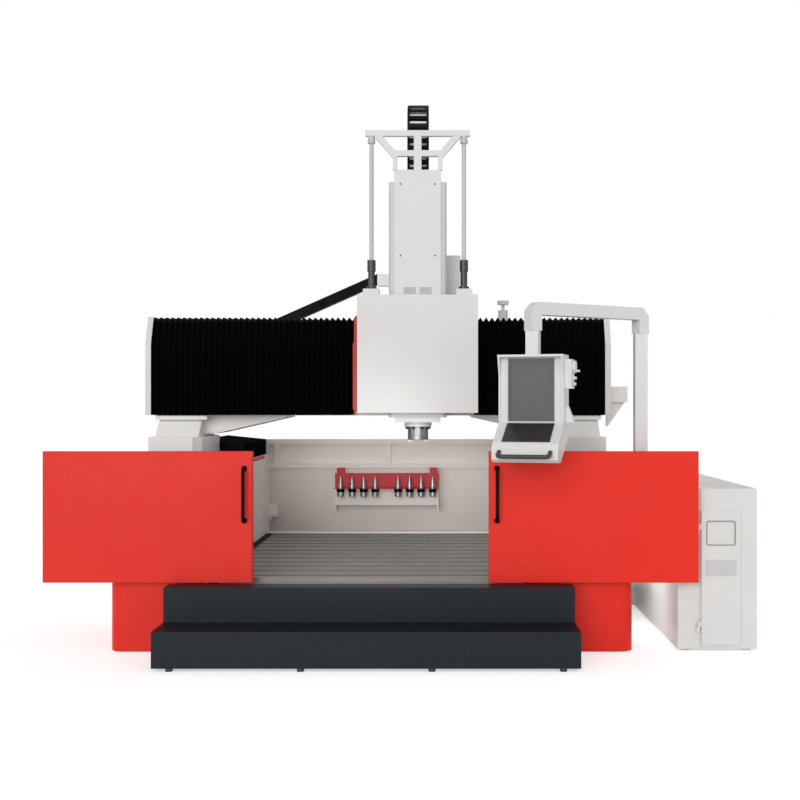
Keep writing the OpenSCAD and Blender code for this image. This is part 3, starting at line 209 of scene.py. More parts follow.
def folded_cover(path, inward, span, pleats, depth, cloth, fine=8, sway=0.07, waves=(9, 25)):
    """A pleated cover: the path moves inwards by the zigzag as it is carried along the span, outside and then inside
    by the cloth's thickness, and the two are closed at their edges and ends. The folds lie a little unevenly, by slow
    waves along the span and the path. Returns across, along, up and the quads."""
    x = np.linspace(0, 1, pleats * fine + 1)
    run = np.cumsum(np.append(0, np.linalg.norm(np.diff(path, axis=0), axis=1)))
    ease = np.sin(np.pi * x) ** 0.5
    uneven = sway * ease[:, None] * np.sin(waves[0] * run[None] + waves[1] * np.pi * x[:, None])
    zigzag = np.clip(pleat(x[:, None] + 0 * run[None], 1 / pleats) * (0.94 + uneven), 0, 1)
    outer = path[None] + depth * zigzag[..., None] * inward[None]
    inner = path[None] + (depth * zigzag + cloth)[..., None] * inward[None]
    ring = np.concatenate([outer, inner[:, ::-1]], axis=1)
    along = np.repeat((span[0] + (span[1] - span[0]) * x)[:, None], ring.shape[1], axis=1)
    rows, cols = along.shape
    points = np.stack([ring[..., 0], along, ring[..., 1]], axis=2).reshape(-1, 3)
    i = np.arange(len(path) - 1)
    near = np.stack([i, cols - 1 - i, cols - 2 - i, i + 1], axis=1)
    far = (rows - 1) * cols + near[:, ::-1]
    return points, np.concatenate([grid_quads(rows, cols, wrap_cols=True), near, far])


def rod(points, across, radius, sides=16):
    """A round bar along a path in a plane: a circle spanned by the plane's normal and the path's own normal at every
    point, closed at the ends."""
    points = np.asarray(points, float)
    along = np.gradient(points, axis=0)
    along /= np.linalg.norm(along, axis=1)[:, None]
    side = np.asarray(across, float) / np.linalg.norm(across)
    up = np.cross(side, along)
    angle = np.linspace(0, 2 * np.pi, sides, endpoint=False)[None, :, None]
    return capped_ring(points[:, None] + radius * (np.cos(angle) * side + np.sin(angle) * up[:, None]))


def soft_frame(size, corner, wide, high, sides=6):
    """A flat frame: the outline of a rounded rectangle, moved inwards and up round the frame's square section."""
    unit, signs = corner_fan(sides)
    flat = signs * (np.asarray(size, float) / 2 - corner)
    inset = np.array([0, 0, 0.2, 0.8, 1, 1]) * wide
    rise = np.array([0, 0.7, 1, 1, 0.7, 0]) * high
    plan = flat[None] + (corner - inset)[:, None, None] * unit[None]
    z = np.repeat(rise[:, None, None], len(unit), axis=1)
    return np.concatenate([plan, z], axis=2).reshape(-1, 3), grid_quads(len(rise), len(unit), True, True)


def socket_head(radius, high):
    """A screw's head: a short turned barrel with a broken edge and a hollow in its top."""
    return turned([(radius, 0), (radius, 0.85 * high), (0.88 * radius, high), (0.5 * radius, high),
                   (0.45 * radius, 0.4 * high)], 12)


def placed(part, at, spin=0.0, tilt=0.0):
    """A surface tilted about X, then spun about Z, then moved."""
    points, quads = part
    c, s = np.cos(tilt), np.sin(tilt)
    points = points @ np.array([[1, 0, 0], [0, c, -s], [0, s, c]]).T
    c, s = np.cos(spin), np.sin(spin)
    return points @ np.array([[c, -s, 0], [s, c, 0], [0, 0, 1]]).T + np.asarray(at, float), quads


def add_piece(name, part, finish, body, crease=35):
    """Puts a surface into a mesh object, with its poles drawn together, edges over the crease angle kept sharp, and its
    finish. It rides on a body; None leaves it unattached."""
    points, quads = part
    mesh = bpy.data.meshes.new(name)
    mesh.from_pydata(points.tolist(), [], outward(points, quads).tolist())
    work = bmesh.new()
    work.from_mesh(mesh)
    bmesh.ops.remove_doubles(work, verts=work.verts, dist=1e-6)
    work.to_mesh(mesh)
    work.free()
    mesh.polygons.foreach_set("use_smooth", np.ones(len(mesh.polygons), bool))
    mesh.set_sharp_from_angle(angle=np.radians(crease))
    mesh.materials.append(finish)
    mesh.update()
    piece = bpy.data.objects.new(name, mesh)
    bpy.context.scene.collection.objects.link(piece)
    if body:
        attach(piece, body)
    return piece


# Finishes

def tint(red, green, blue):
    """A screen colour of 0 to 255 as the light it stands for: the usual screen curve, undone."""
    c = np.array([red, green, blue]) / 255
    return (*np.where(c > 0.04045, ((c + 0.055) / 1.055) ** 2.4, c / 12.92), 1.0)


class Finish:
    """A material whose patterns read the piece's own Object coordinates."""

    def __init__(self, name):
        self.material = bpy.data.materials.new(name)
        self.material.use_nodes = True
        self.tree = self.material.node_tree
        self.shader = self.tree.nodes["Principled BSDF"]
        self.coordinates = self.add("ShaderNodeTexCoord").outputs
        self.where = self.coordinates["Object"]

    def add(self, kind, **settings):
        node = self.tree.nodes.new(kind)
        for key, value in settings.items():
            setattr(node, key, value)
        return node

    def fill(self, socket, value):
        """A link where the value is another node's output, and the socket's own number otherwise."""
        if isinstance(value, bpy.types.NodeSocket):
            self.tree.links.new(value, socket)
        else:
            socket.default_value = value

    def mapped(self, stretch, turn=(0, 0, 0)):
        """The coordinates turned, and pressed together along each axis by its factor."""
        node = self.add("ShaderNodeMapping")
        node.inputs["Scale"].default_value = stretch
        node.inputs["Rotation"].default_value = turn
        self.fill(node.inputs["Vector"], self.where)
        return node.outputs["Vector"]

    def cloud(self, scale, detail=3.0, stretch=None, roughness=0.55):
        """Soft noise from 0 to 1, with its size as spots a metre."""
        node = self.add("ShaderNodeTexNoise")
        self.fill(node.inputs["Vector"], self.mapped(stretch) if stretch else self.where)
        node.inputs["Scale"].default_value = scale
        node.inputs["Detail"].default_value = detail
        node.inputs["Roughness"].default_value = roughness
        return node.outputs["Fac"]

    def bands(self, scale, axis, stretch=None):
        """Even waves from 0 to 1 across one axis."""
        node = self.add("ShaderNodeTexWave", wave_type="BANDS", bands_direction=axis)
        self.fill(node.inputs["Vector"], self.mapped(stretch) if stretch else self.where)
        node.inputs["Scale"].default_value = scale
        return node.outputs["Fac"]

    def ramp(self, value, low, high, start=0.3, end=0.7):
        """A value carried from one range to another, and held at the ends."""
        node = self.add("ShaderNodeMapRange", clamp=True)
        for key, part in {"Value": value, "From Min": start, "From Max": end, "To Min": low, "To Max": high}.items():
            self.fill(node.inputs[key], part)
        return node.outputs["Result"]

    def math(self, kind, a, b):
        node = self.add("ShaderNodeMath", operation=kind)
        self.fill(node.inputs[0], a)
        self.fill(node.inputs[1], b)
        return node.outputs["Value"]

    def mix(self, share, a, b):
        """Two colours mixed by a share from 0 to 1."""
        node = self.add("ShaderNodeMix", data_type="RGBA")
        self.fill(node.inputs["Factor"], share)
        self.fill(node.inputs[6], a)
        self.fill(node.inputs[7], b)
        return node.outputs[2]

    def relief(self, height, depth, strength=1.0):
        """Fine relief of that depth in metres, in the surface only."""
        node = self.add("ShaderNodeBump")
        self.fill(node.inputs["Height"], height)
        node.inputs["Distance"].default_value = depth
        node.inputs["Strength"].default_value = strength
        self.fill(self.shader.inputs["Normal"], node.outputs["Normal"])

    def set(self, **values):
        """Values for the shader, by the name of its socket with _ for a space."""
        for key, value in values.items():
            self.fill(self.shader.inputs[key.replace("_", " ")], value)
        return self


def paint(name, light, shade, gloss=0.4, peel=0.00012, grain=330.0):
    """Sprayed paint: a broad drift between two close tones, fine specks, and the peel of a sprayed coat."""
    f = Finish(name)
    drift = f.ramp(f.cloud(1.6, 2.0), 0.0, 1.0)
    specks = f.ramp(f.cloud(grain * 0.6, 2.0), 0.0, 0.18, 0.45, 0.75)
    both = f.math("MAXIMUM", f.math("MULTIPLY", drift, 0.75), specks)
    f.set(Base_Color=f.mix(both, light, shade), Roughness=f.ramp(f.cloud(7.0, 3.0), gloss - 0.06, gloss + 0.08))
    f.set(Specular_IOR_Level=0.25)
    f.relief(f.cloud(grain, 2.0), peel)
    return f.material


def brushed(name, light, shade, stretch, rough=(0.24, 0.4), metal=1.0, lines=260.0):
    """Worked metal: noise drawn out into lines along one axis, over a slow drift of tone."""
    f = Finish(name)
    scratch = f.cloud(lines, 3.0, stretch)
    drift = f.cloud(5.0, 3.0)
    tone = f.math("MULTIPLY", f.ramp(scratch, 0.2, 1.0, 0.25, 0.75), f.ramp(drift, 0.6, 1.0))
    f.set(Base_Color=f.mix(tone, shade, light), Roughness=f.ramp(scratch, rough[1], rough[0]), Metallic=metal)
    f.relief(scratch, 0.00004)
    return f.material


def moulded(name, light, shade, rough=0.45, sheen=0.3, grain=900.0, depth=0.00008):
    """Moulded plastic: a fine pebbled skin with slightly worn, shinier spots."""
    f = Finish(name)
    pebble = f.cloud(grain, 1.5)
    worn = f.cloud(14.0, 3.0)
    f.set(Base_Color=f.mix(f.ramp(pebble, 0.0, 1.0), light, shade), Roughness=f.ramp(worn, rough - 0.08, rough + 0.1))
    f.set(Specular_IOR_Level=sheen)
    f.relief(pebble, depth)
    return f.material


def cover_cloth(name):
    """Coated cloth of the bellows: a close weave from two sets of crossed waves, dust in the broad drift."""
    f = Finish(name)
    weave = f.math("MULTIPLY", f.bands(420.0, "DIAGONAL"), f.bands(420.0, "Z"))
    dust = f.ramp(f.cloud(3.0, 4.0), 0.0, 0.35, 0.45, 0.8)
    f.set(Base_Color=f.mix(dust, tint(2, 2, 2), tint(7, 7, 8)), Roughness=f.ramp(weave, 0.85, 0.7, 0.0, 1.0))
    f.set(Specular_IOR_Level=0.04)
    f.relief(weave, 0.00015)
    return f.material


def top_shaded_paint(name, side, painted_shade_top):
    """Paint of a part that is walked on, with scuffs: one tone on upright faces, and a darker one on level faces as
    painted shade, by the surface's own normal."""
    f = Finish(name)
    lie = f.add("ShaderNodeSeparateXYZ")
    f.fill(lie.inputs["Vector"], f.coordinates["Normal"])
    scuffs = f.ramp(f.cloud(38.0, 4.0), 0.0, 0.25, 0.55, 0.8)
    # painted shade: level faces take the darker tone
    base = f.mix(f.ramp(lie.outputs["Z"], 0.0, 1.0, 0.4, 0.8), side, painted_shade_top)
    f.set(Base_Color=f.mix(scuffs, base, tint(46, 52, 57)), Roughness=f.ramp(scuffs, 0.45, 0.6, 0.0, 0.25))
    f.set(Specular_IOR_Level=0.2)
    f.relief(f.cloud(260.0, 2.0), 0.0002)
    return f.material


def pocket_shaded_paint(name, light, pocket_shade_tone, front, back):
    """Ribbed wall paint: ribs and rails in one tone, painted shade towards the pockets' floor and lower down."""
    f = Finish(name)
    place = f.add("ShaderNodeSeparateXYZ")
    f.fill(place.inputs["Vector"], f.where)
    # painted shade: darker towards the floor of the pockets and towards the foot of the wall, broken up by a slow drift
    pocket_shade_mask = f.ramp(place.outputs["Y"], 0.0, 1.0, front, back)
    low = f.ramp(place.outputs["Z"], 1.0, 0.0, 0.45, 1.05)
    dust = f.ramp(f.cloud(2.2, 3.0), 0.8, 1.0)
    share = f.math("MULTIPLY", f.math("MULTIPLY", pocket_shade_mask, low), dust)
    f.set(Base_Color=f.mix(share, light, pocket_shade_tone), Roughness=f.ramp(f.cloud(7.0), 0.45, 0.58))
    f.set(Specular_IOR_Level=0.25)
    f.relief(f.cloud(210.0, 2.0), 0.0003)
    return f.material


def dotted_grate(name):
    """Black gutter with rows of round holes: the distance to the middle of each cell, cut off at the hole's radius."""
    f = Finish(name)
    cells = f.add("ShaderNodeTexVoronoi", feature="F1", distance="EUCLIDEAN")
    cells.inputs["Randomness"].default_value = 0.0
    cells.inputs["Scale"].default_value = 55.0
    f.fill(cells.inputs["Vector"], f.where)
    rim = f.ramp(cells.outputs["Distance"], 0.0, 1.0, 0.30, 0.40)
    f.set(Base_Color=f.mix(rim, tint(2, 2, 2), tint(14, 14, 15)), Roughness=f.ramp(f.cloud(30.0), 0.5, 0.65))
    f.set(Specular_IOR_Level=0.1)
    f.relief(rim, 0.001)
    return f.material


def pane(name, low_tone, high_tone, rough, scale):
    """Coated glass: two close tones drifting along the height, a few faint smears in the gloss."""
    f = Finish(name)
    drift = f.cloud(scale, 1.0, (0.3, 0.3, 1.0))
    smears = f.ramp(f.cloud(9.0, 4.0), rough, rough + 0.1)
    f.set(Base_Color=f.mix(f.ramp(drift, 0.0, 1.0), low_tone, high_tone), Roughness=smears)
    f.set(Specular_IOR_Level=0.3)
    return f.material


TABLE_FRONT, TABLE_BACK = (corner.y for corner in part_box("work_table"))
TABLE_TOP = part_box("work_table")[1].z
SLOT_COUNT, SLOT_PITCH, SLOT_DEEP = 12, 0.210, 0.014
SLOT_FIRST = (TABLE_FRONT + TABLE_BACK - (SLOT_COUNT - 1) * SLOT_PITCH) / 2


def table_face(name):
    """Ground table: close grinding lines along X, broad passes of the grinding wheel, faint oily clouds, a painted
    highlight and painted shade beside every slot by the fraction of its pitch, and painted shade down in the slots."""
    f = Finish(name)
    place = f.add("ShaderNodeSeparateXYZ")
    f.fill(place.inputs["Vector"], f.where)
    lines = f.cloud(1.0, 4.0, (3.0, 700.0, 40.0))
    passes = f.cloud(1.0, 1.0, (0.4, 26.0, 1.0))
    oil = f.ramp(f.cloud(2.2, 4.0), 0.0, 0.35, 0.5, 0.8)
    tone = f.math("MULTIPLY", f.ramp(lines, 0.72, 1.0), f.ramp(passes, 0.9, 1.0))
    ground = f.mix(tone, tint(84, 82, 79), tint(152, 150, 146))
    worn = f.mix(oil, ground, tint(116, 113, 108))
    across = f.math("DIVIDE", f.math("SUBTRACT", place.outputs["Y"], SLOT_FIRST - SLOT_PITCH / 2), SLOT_PITCH)
    share = f.math("FRACT", across, 0.0)
    # painted highlight just in front of every slot and painted shade over it, by the fraction of the pitch; worn
    # carries the oil and both
    slot_highlight_mask = f.math("MULTIPLY", f.ramp(share, 0.0, 0.6, 0.26, 0.34), f.ramp(share, 1.0, 0.0, 0.38, 0.42))
    slot_shade_mask = f.math("MULTIPLY", f.ramp(share, 0.0, 0.8, 0.38, 0.43), f.ramp(share, 1.0, 0.0, 0.57, 0.64))
    worn = f.mix(slot_highlight_mask, worn, tint(182, 180, 176))
    worn = f.mix(slot_shade_mask, worn, tint(72, 70, 68))
    # painted shade in the slots, growing below the top, kept off the table's front face
    depth = f.ramp(place.outputs["Z"], 1.0, 0.0, TABLE_TOP - SLOT_DEEP, TABLE_TOP - 0.001)
    depth = f.math("MULTIPLY", depth, f.ramp(place.outputs["Y"], 0.0, 1.0, TABLE_FRONT + 0.001, TABLE_FRONT + 0.004))
    f.set(Base_Color=f.mix(depth, worn, tint(48, 46, 44)), Metallic=0.3, Roughness=f.ramp(lines, 0.55, 0.45))
    f.relief(lines, 0.00003)
    return f.material


finishes = {
    "cast_paint": paint("cast_paint", tint(238, 232, 227), tint(229, 223, 217), 0.5, 0.0003, 210.0),
    "white_paint": paint("white_paint", tint(216, 216, 214), tint(209, 209, 207), 0.38),
    "red_paint": paint("red_paint", tint(226, 41, 25), tint(218, 37, 23), 0.4),
    "navy_paint": paint("navy_paint", tint(24, 31, 38), tint(19, 25, 31), 0.5, 0.0002, 260.0),
    "table_iron": table_face("table_iron"),
    "steel": brushed("steel", (0.62, 0.61, 0.6, 1), (0.34, 0.34, 0.34, 1), (1.0, 1.0, 0.05)),
    "dark_metal": brushed("dark_metal", (0.08, 0.08, 0.082, 1), (0.04, 0.04, 0.043, 1), (0.1, 1.0, 1.0), (0.35, 0.5)),
    "bellows_cloth": cover_cloth("bellows_cloth"),
    "black_plastic": moulded("black_plastic", tint(24, 24, 26), tint(17, 17, 19), 0.5, 0.2),
    "dark_plastic": moulded("dark_plastic", tint(66, 68, 72), tint(54, 56, 60), 0.4),
}

# A darker copy of the white paint as painted shade for the ram, whose side strips stand in shade
ram_shaded_white = paint("ram_shaded_white", tint(206, 205, 203), tint(198, 197, 195), 0.4)
# A darker copy of the red paint as painted shade for the saddle, which stands in the head's shadow
saddle_shaded_red = paint("saddle_shaded_red", tint(182, 56, 48), tint(172, 52, 45), 0.42)
rack_red = paint("rack_red", tint(199, 42, 52), tint(189, 38, 47), 0.42)
pink_band_paint = paint("pink_band_paint", tint(214, 92, 96), tint(206, 86, 90), 0.45)
step_navy_top_shaded = top_shaded_paint("step_navy_top_shaded", tint(19, 26, 32), tint(10, 15, 19))
# A lighter copy of cast_paint as painted light for the bed, whose inside stands in shade
bed_lit_white = paint("bed_lit_white", tint(250, 245, 241), tint(243, 238, 233), 0.5, 0.0003, 210.0)
# painted shade in the pockets and low on the wall; the light tone is also lighter than cast_paint as painted light
wall_paint = pocket_shaded_paint("wall_paint", tint(246, 240, 235), tint(184, 177, 172), 1.258, 1.287)
gutter_black = dotted_grate("gutter_black")
# A lighter copy of the white paint as painted light for the columns, end bracket and chain box, which stand in shade
column_lit_white = paint("column_lit_white", tint(238, 237, 235), tint(230, 229, 227), 0.42)
ground_rod = paint("ground_rod", tint(194, 194, 193), tint(186, 186, 185), 0.3, 0.00002)
nose_steel = brushed("nose_steel", (0.34, 0.335, 0.33, 1), (0.22, 0.22, 0.215, 1), (1.0, 1.0, 9.0), (0.4, 0.5))
tool_steel = brushed("tool_steel", (0.42, 0.42, 0.42, 1), (0.27, 0.27, 0.275, 1), (1.0, 1.0, 9.0), (0.3, 0.45))
jet_plastic = moulded("jet_plastic", tint(8, 8, 9), tint(5, 5, 6), 0.55, 0.08)
chain_plastic = moulded("chain_plastic", tint(16, 16, 17), tint(10, 10, 11), 0.55, 0.1)
chain_pale = moulded("chain_pale", tint(226, 226, 224), tint(214, 214, 212), 0.5)
grip_rubber = moulded("grip_rubber", tint(62, 62, 61), tint(52, 52, 51), 0.38)
screen_glass = pane("screen_glass", tint(79, 76, 77), tint(86, 83, 84), 0.35, 3.0)
keypad_glass = pane("keypad_glass", tint(38, 34, 34), tint(50, 46, 46), 0.22, 5.0)
screw_black = brushed("screw_black", (0.06, 0.06, 0.065, 1), (0.03, 0.03, 0.033, 1), (1.0, 1.0, 1.0), (0.35, 0.5))
window_shade_grey = moulded("window_shade_grey", tint(150, 150, 148), tint(140, 140, 138), 0.5)
plate_grey = paint("plate_grey", tint(197, 197, 196), tint(191, 191, 190), 0.36)
vent_grey = paint("vent_grey", tint(176, 176, 175), tint(168, 168, 167), 0.45)


# The machine's own nodes

WELD = 0.00005
SHARP_ANGLE = np.radians(40)


def soften(node, width, segments=2):
    """Broken edges: the loose triangles are joined, and every sharp edge gets a small round."""
    weld = node.modifiers.new("join", "WELD")
    weld.merge_threshold = WELD
    bevel = node.modifiers.new("broken_edges", "BEVEL")
    bevel.width = width
    bevel.segments = segments
    bevel.limit_method = "ANGLE"
    bevel.angle_limit = SHARP_ANGLE
    bevel.use_clamp_overlap = True
    bevel.harden_normals = False


def dress(node, finish):
    """Gives every material slot of a node its finish."""
    for slot in node.material_slots:
        slot.material = finish


ROUNDED = {
    0.003: (
        "left_door_panel", "right_door_panel", "step", "head_cover", "ram_front_plate", "beam_end_caps", "chain_box",
        "left_column", "right_column", "cross_beam", "saddle", "ram", "end_bracket", "rack_bar", "rear_wall",
    ),
    0.0015: ("rack_plate", "yoke", "pendant_housing", "swing_arm", "pendant_post", "cable_duct", "front_guard"),
}
SPECIAL = {
    "ram": ram_shaded_white, "saddle": saddle_shaded_red, "rack_plate": rack_red, "step": step_navy_top_shaded, "chip_gutters": gutter_black,
    "balance_rods": ground_rod, "z_chain": chain_plastic, "pendant_screen": screen_glass,
    "pendant_keypad": keypad_glass, "rear_wall": wall_paint, "bed": bed_lit_white,
    **dict.fromkeys(("left_column", "right_column", "cross_beam", "end_bracket", "chain_box"), column_lit_white),
    **dict.fromkeys(("cable_duct", "way_cover_frames", "way_end_plates"), jet_plastic),
}

slot_of = {name: node.material_slots[0].material.name.split(".")[0] for name, node in nodes.items()}
for name, node in nodes.items():
    dress(node, SPECIAL.get(name, finishes[slot_of[name]]))
for width, names in ROUNDED.items():
    for name in names:
        soften(nodes[name], width)

# Bellows and way covers

CLOTH = 0.0025
NO_CREASE = 180
BEAM_CHAMFER = (0.080, 0.200)
BEAM_BEND = 0.05
BEAM_FOLDS = (0.032, 0.042)
WAY_RIDGE = 0.558
WAY_BEND = 0.03
WAY_FOLDS = (0.021, 0.046)
WAY_SHOULDERS = {"rear": (0.134 / 0.168, 0.120 / 0.168), "front": (0.066 / 0.080, 0.060 / 0.080)}


def beam_bellows(name):
    """Bellows over the beam: its path goes up the front, over a slant and back along the top, carried along X."""
    low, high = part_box(name)
    path, inward = bent_path([
        (low.y, low.z), (low.y, high.z - BEAM_CHAMFER[1]), (low.y + BEAM_CHAMFER[0], high.z), (high.y, high.z),
    ], BEAM_BEND)
    depth, pitch = BEAM_FOLDS
    pleats = round((high.x - low.x) / pitch)
    points, quads = folded_cover(path, inward, (low.x, high.x), pleats, depth, CLOTH)
    part = points[:, [1, 0, 2]], quads
    piece = add_piece(name + "_cloth", part, finishes["bellows_cloth"], None, NO_CREASE)
    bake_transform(piece)
    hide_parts(name)


def way_cover(name, kind):
    """Cover of the slideway: its path goes up one side, over a ridge and down the other, carried along Y."""
    low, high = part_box(name)
    near, far = WAY_SHOULDERS[kind]
    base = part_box("bed")[1].z
    rise = high.z - base
    left = low.x < 0
    ridge = high.x - WAY_RIDGE * (high.x - low.x) if left else low.x + WAY_RIDGE * (high.x - low.x)
    heights = (far, near) if left else (near, far)
    path, inward = bent_path([
        (low.x, low.z), (low.x, base + heights[0] * rise), (ridge, high.z),
        (high.x, base + heights[1] * rise), (high.x, low.z),
    ], WAY_BEND)
    depth, pitch = WAY_FOLDS
    pleats = round((high.y - low.y) / pitch)
    part = folded_cover(path, inward, (low.y, high.y), pleats, depth, CLOTH)
    piece = add_piece(name + "_cloth", part, finishes["bellows_cloth"], None, NO_CREASE)
    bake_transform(piece)
    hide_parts(name)


beam_bellows("left_beam_bellows")
beam_bellows("right_beam_bellows")
for side in ("left", "right"):
    for kind in ("rear", "front"):
        way_cover(f"{kind}_way_cover_{side}", kind)

# Handles

FACING_FRONT = np.pi / 2
PENDANT = (1.0242, -1.5946, 0.0)
PENDANT_TURN = -np.radians(17)
HANDLE_BEND, HANDLE_TUBE = 0.035, 0.95
FOOT_WIDE, FOOT_NARROW = 1.55, 1.4
FOOT_EDGE, FOOT_HIGH = 0.003, 0.005
GRIP = [(-0.158, -0.247, 1.316), (-0.158, -0.297, 1.289), (0.158, -0.297, 1.289), (0.158, -0.247, 1.316)]
GRIP_NORMAL = (0, 0.027, -0.05)
GRIP_BEND, GRIP_STEP, GRIP_R = 0.026, 0.01, 0.0135


def door_handle(side):
    """A bent round tube with its ends turned into the door, and a flat disc round each foot."""
    name = side + "_door_handle"
    low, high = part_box(name)
    x, r = (low.x + high.x) / 2, (high.x - low.x) / 2
    y, ends = low.y + r, (low.z + r, high.z - r)
    run = bent_run([(x, high.y, ends[0]), (x, y, ends[0]), (x, y, ends[1]), (x, high.y, ends[1])], HANDLE_BEND)
    disc = turned([(FOOT_WIDE * r, 0.0), (FOOT_WIDE * r, FOOT_EDGE), (FOOT_NARROW * r, FOOT_HIGH)], 24)
    feet = [placed(disc, (x, high.y, z), tilt=FACING_FRONT) for z in ends]
    tube = joined([rod(run, (1, 0, 0), HANDLE_TUBE * r)] + feet)
    piece = add_piece(name + "_tube", tube, jet_plastic, side + "_door")
    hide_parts(name)


door_handle("left")
door_handle("right")

grip = rod(bent_run(GRIP, GRIP_BEND, step=GRIP_STEP), GRIP_NORMAL, GRIP_R)
grip_tube = add_piece("grip_tube", placed(grip, PENDANT, PENDANT_TURN), grip_rubber, "pendant")
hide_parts("pendant_grip")

# Tools in the rack: profiles of radius and height

RACK = (-0.010, 1.090, 0.875)
HOLDERS_PER_SIDE, HOLDER_FIRST, HOLDER_PITCH = 4, 0.0985, 0.1
HOLDER_SIDES = 28
HOLDER = np.array([
    (24.5, -70), (28.5, -66), (28.5, -33), (31.5, -31.5), (31.5, -2), (30.5, -1), (25, 0), (25, 6), (30.5, 7),
    (31.5, 8), (31.5, 18), (30.5, 19), (22, 19.5), (12.5, 84), (8.5, 85), (8.5, 98), (6, 106),
]) / 1000
RING = np.array([(30, -29), (33, -29), (34, -27), (34, -4), (33, -2), (30, -2)]) / 1000

steps = HOLDER_FIRST + HOLDER_PITCH * np.arange(HOLDERS_PER_SIDE)
hooks = [(RACK[0] + x, RACK[1], RACK[2]) for x in np.concatenate([-steps[::-1], steps])]
shanks = repeated(turned(HOLDER, HOLDER_SIDES), hooks)
tool_shanks = add_piece("tool_shanks", shanks, tool_steel, "base")
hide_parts("tool_holders")
collars = repeated(turned_ring(RING, HOLDER_SIDES), hooks)
add_piece("tool_rings", collars, jet_plastic, "base")

# Gutter grates, and pieces on the bed's walls: end lips, pinkish-red bands and a corner shelf

GRATE_WIDE, GRATE_THICK = 0.057, 0.005
GRATE_IN, GRATE_DROP, GRATE_PLAY = 0.033, 0.004, 0.016
LIP = (0.053, 0.050)
LIP_IN, LIP_SEAT = 0.035, 0.001
PINK_BAND = (0.0014, 2.3, 0.028)
PINK_BAND_SINK, PINK_BAND_MIDDLE, PINK_BAND_DROP = 0.0006, -0.05, 0.0155
SHELF_CORNER = np.array([-1.0665, 1.212, 0.628])
SHELF = np.array([0.104, 0.074, 0.007])
GUSSET = [(0, 0), (0.048, 0), (0.006, -0.080), (0, -0.080)]
GUSSET_SPAN, GUSSET_DROP = (0.030, 0.040), 0.0065

gutter_low, gutter_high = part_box("chip_gutters")
grate = bar((GRATE_WIDE, gutter_high.y - gutter_low.y - GRATE_PLAY, GRATE_THICK))
grate_x = gutter_high.x - GRATE_IN
grates = [(x, (gutter_low.y + gutter_high.y) / 2, TABLE_TOP - GRATE_DROP) for x in (grate_x, -grate_x)]
add_piece("gutter_grates", repeated(grate, grates), gutter_black, "base")

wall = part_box("rear_wall")[1]
bed_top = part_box("bed")[1].z
lip_high = wall.z - bed_top - LIP_SEAT
lips = [(s * (wall.x + LIP[0] / 2), wall.y - LIP_IN, wall.z - lip_high / 2) for s in (-1, 1)]
add_piece("wall_end_lips", repeated(bar((*LIP, lip_high)), lips), wall_paint, "base")
# a thin pinkish-red band along the top of each side wall's inner face
pink_bands = [(s * (wall.x - PINK_BAND_SINK), PINK_BAND_MIDDLE, bed_top - PINK_BAND_DROP) for s in (-1, 1)]
add_piece("wall_pink_bands", repeated(bar(PINK_BAND), pink_bands), pink_band_paint, "base")

board = placed(bar(SHELF), SHELF_CORNER + SHELF / 2 * (1, 1, -1))
gusset = placed(prism(GUSSET, GUSSET_SPAN), SHELF_CORNER - (0, 0, GUSSET_DROP))
add_piece("corner_shelf", joined([board, gusset]), wall_paint, "base")

# Spindle nose, its flange and the front of the ram

AXIS = (0.293, -0.770)
NOSE_LOW, NOSE_TOP, FLANGE_LOW = 1.3567, 1.4487, 1.449
NOSE_MOUTH = [
    (0.020, 0.100), (0.035, 0), (0.0685, 0), (0.0715, 0.003), (0.0715, 0.028), (0.0695, 0.0285), (0.0695, 0.032),
    (0.0715, 0.0325), (0.0715, 0.036),
]
NOSE_NECK = [(0.0715, -0.006), (0.0705, -0.005), (0.0705, 0), (0.045, 0), (0.045, 0.060)]
NOSE_SIDES = 96
FLUTES = (12, 0.0025, NOSE_LOW + 0.034, NOSE_TOP - 0.0055)
KEY, KEY_REACH, KEY_DROP = (0.025, 0.025, 0.016), 0.0565, 0.004
FLANGE_SCREWS, FLANGE_REACH, FLANGE_SCREW = 8, 0.0845, (0.0095, 0.017)
PLATE_FACE = -0.912
PLATE_SCREW, PLATE_SINK = (0.0055, 0.005), 0.006
PLATE_HOLES_X, PLATE_HOLES_Z = (-0.118, 0.118), (3.112, 2.622)
SLAT, SLAT_SINK = (0.080, 0.003, 0.0045), 0.0025
VENTS_X, VENTS_Z = (-0.054, 0.054), 2.382 + 0.009 * np.arange(-2, 3)
NUT = [(0.024, 0.0), (0.026, 0.003), (0.026, 0.030), (0.022, 0.032), (0.022, 0.050)]
NUTS = [(-0.0245, -0.892, 3.391), (0.6105, -0.892, 3.391)]

nose_profile = [(r, NOSE_LOW + z) for r, z in NOSE_MOUTH] + [(r, NOSE_TOP + z) for r, z in NOSE_NECK]
nose = turned(nose_profile, NOSE_SIDES, FLUTES)
keys = [placed(bar(KEY), (x, 0, NOSE_LOW - KEY_DROP)) for x in (-KEY_REACH, KEY_REACH)]
spindle_face = add_piece("spindle_face", placed(joined([nose] + keys), (*AXIS, 0)), nose_steel, "spindle")
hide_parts("spindle_nose")

angles = np.pi / FLANGE_SCREWS * (1 + 2 * np.arange(FLANGE_SCREWS))
circle = np.stack([
    AXIS[0] + FLANGE_REACH * np.cos(angles), AXIS[1] + FLANGE_REACH * np.sin(angles), 0 * angles + FLANGE_LOW,
], axis=1)
flange_screw = placed(socket_head(*FLANGE_SCREW), (0, 0, 0), tilt=np.pi)
add_piece("flange_screws", repeated(flange_screw, circle), screw_black, "ram")

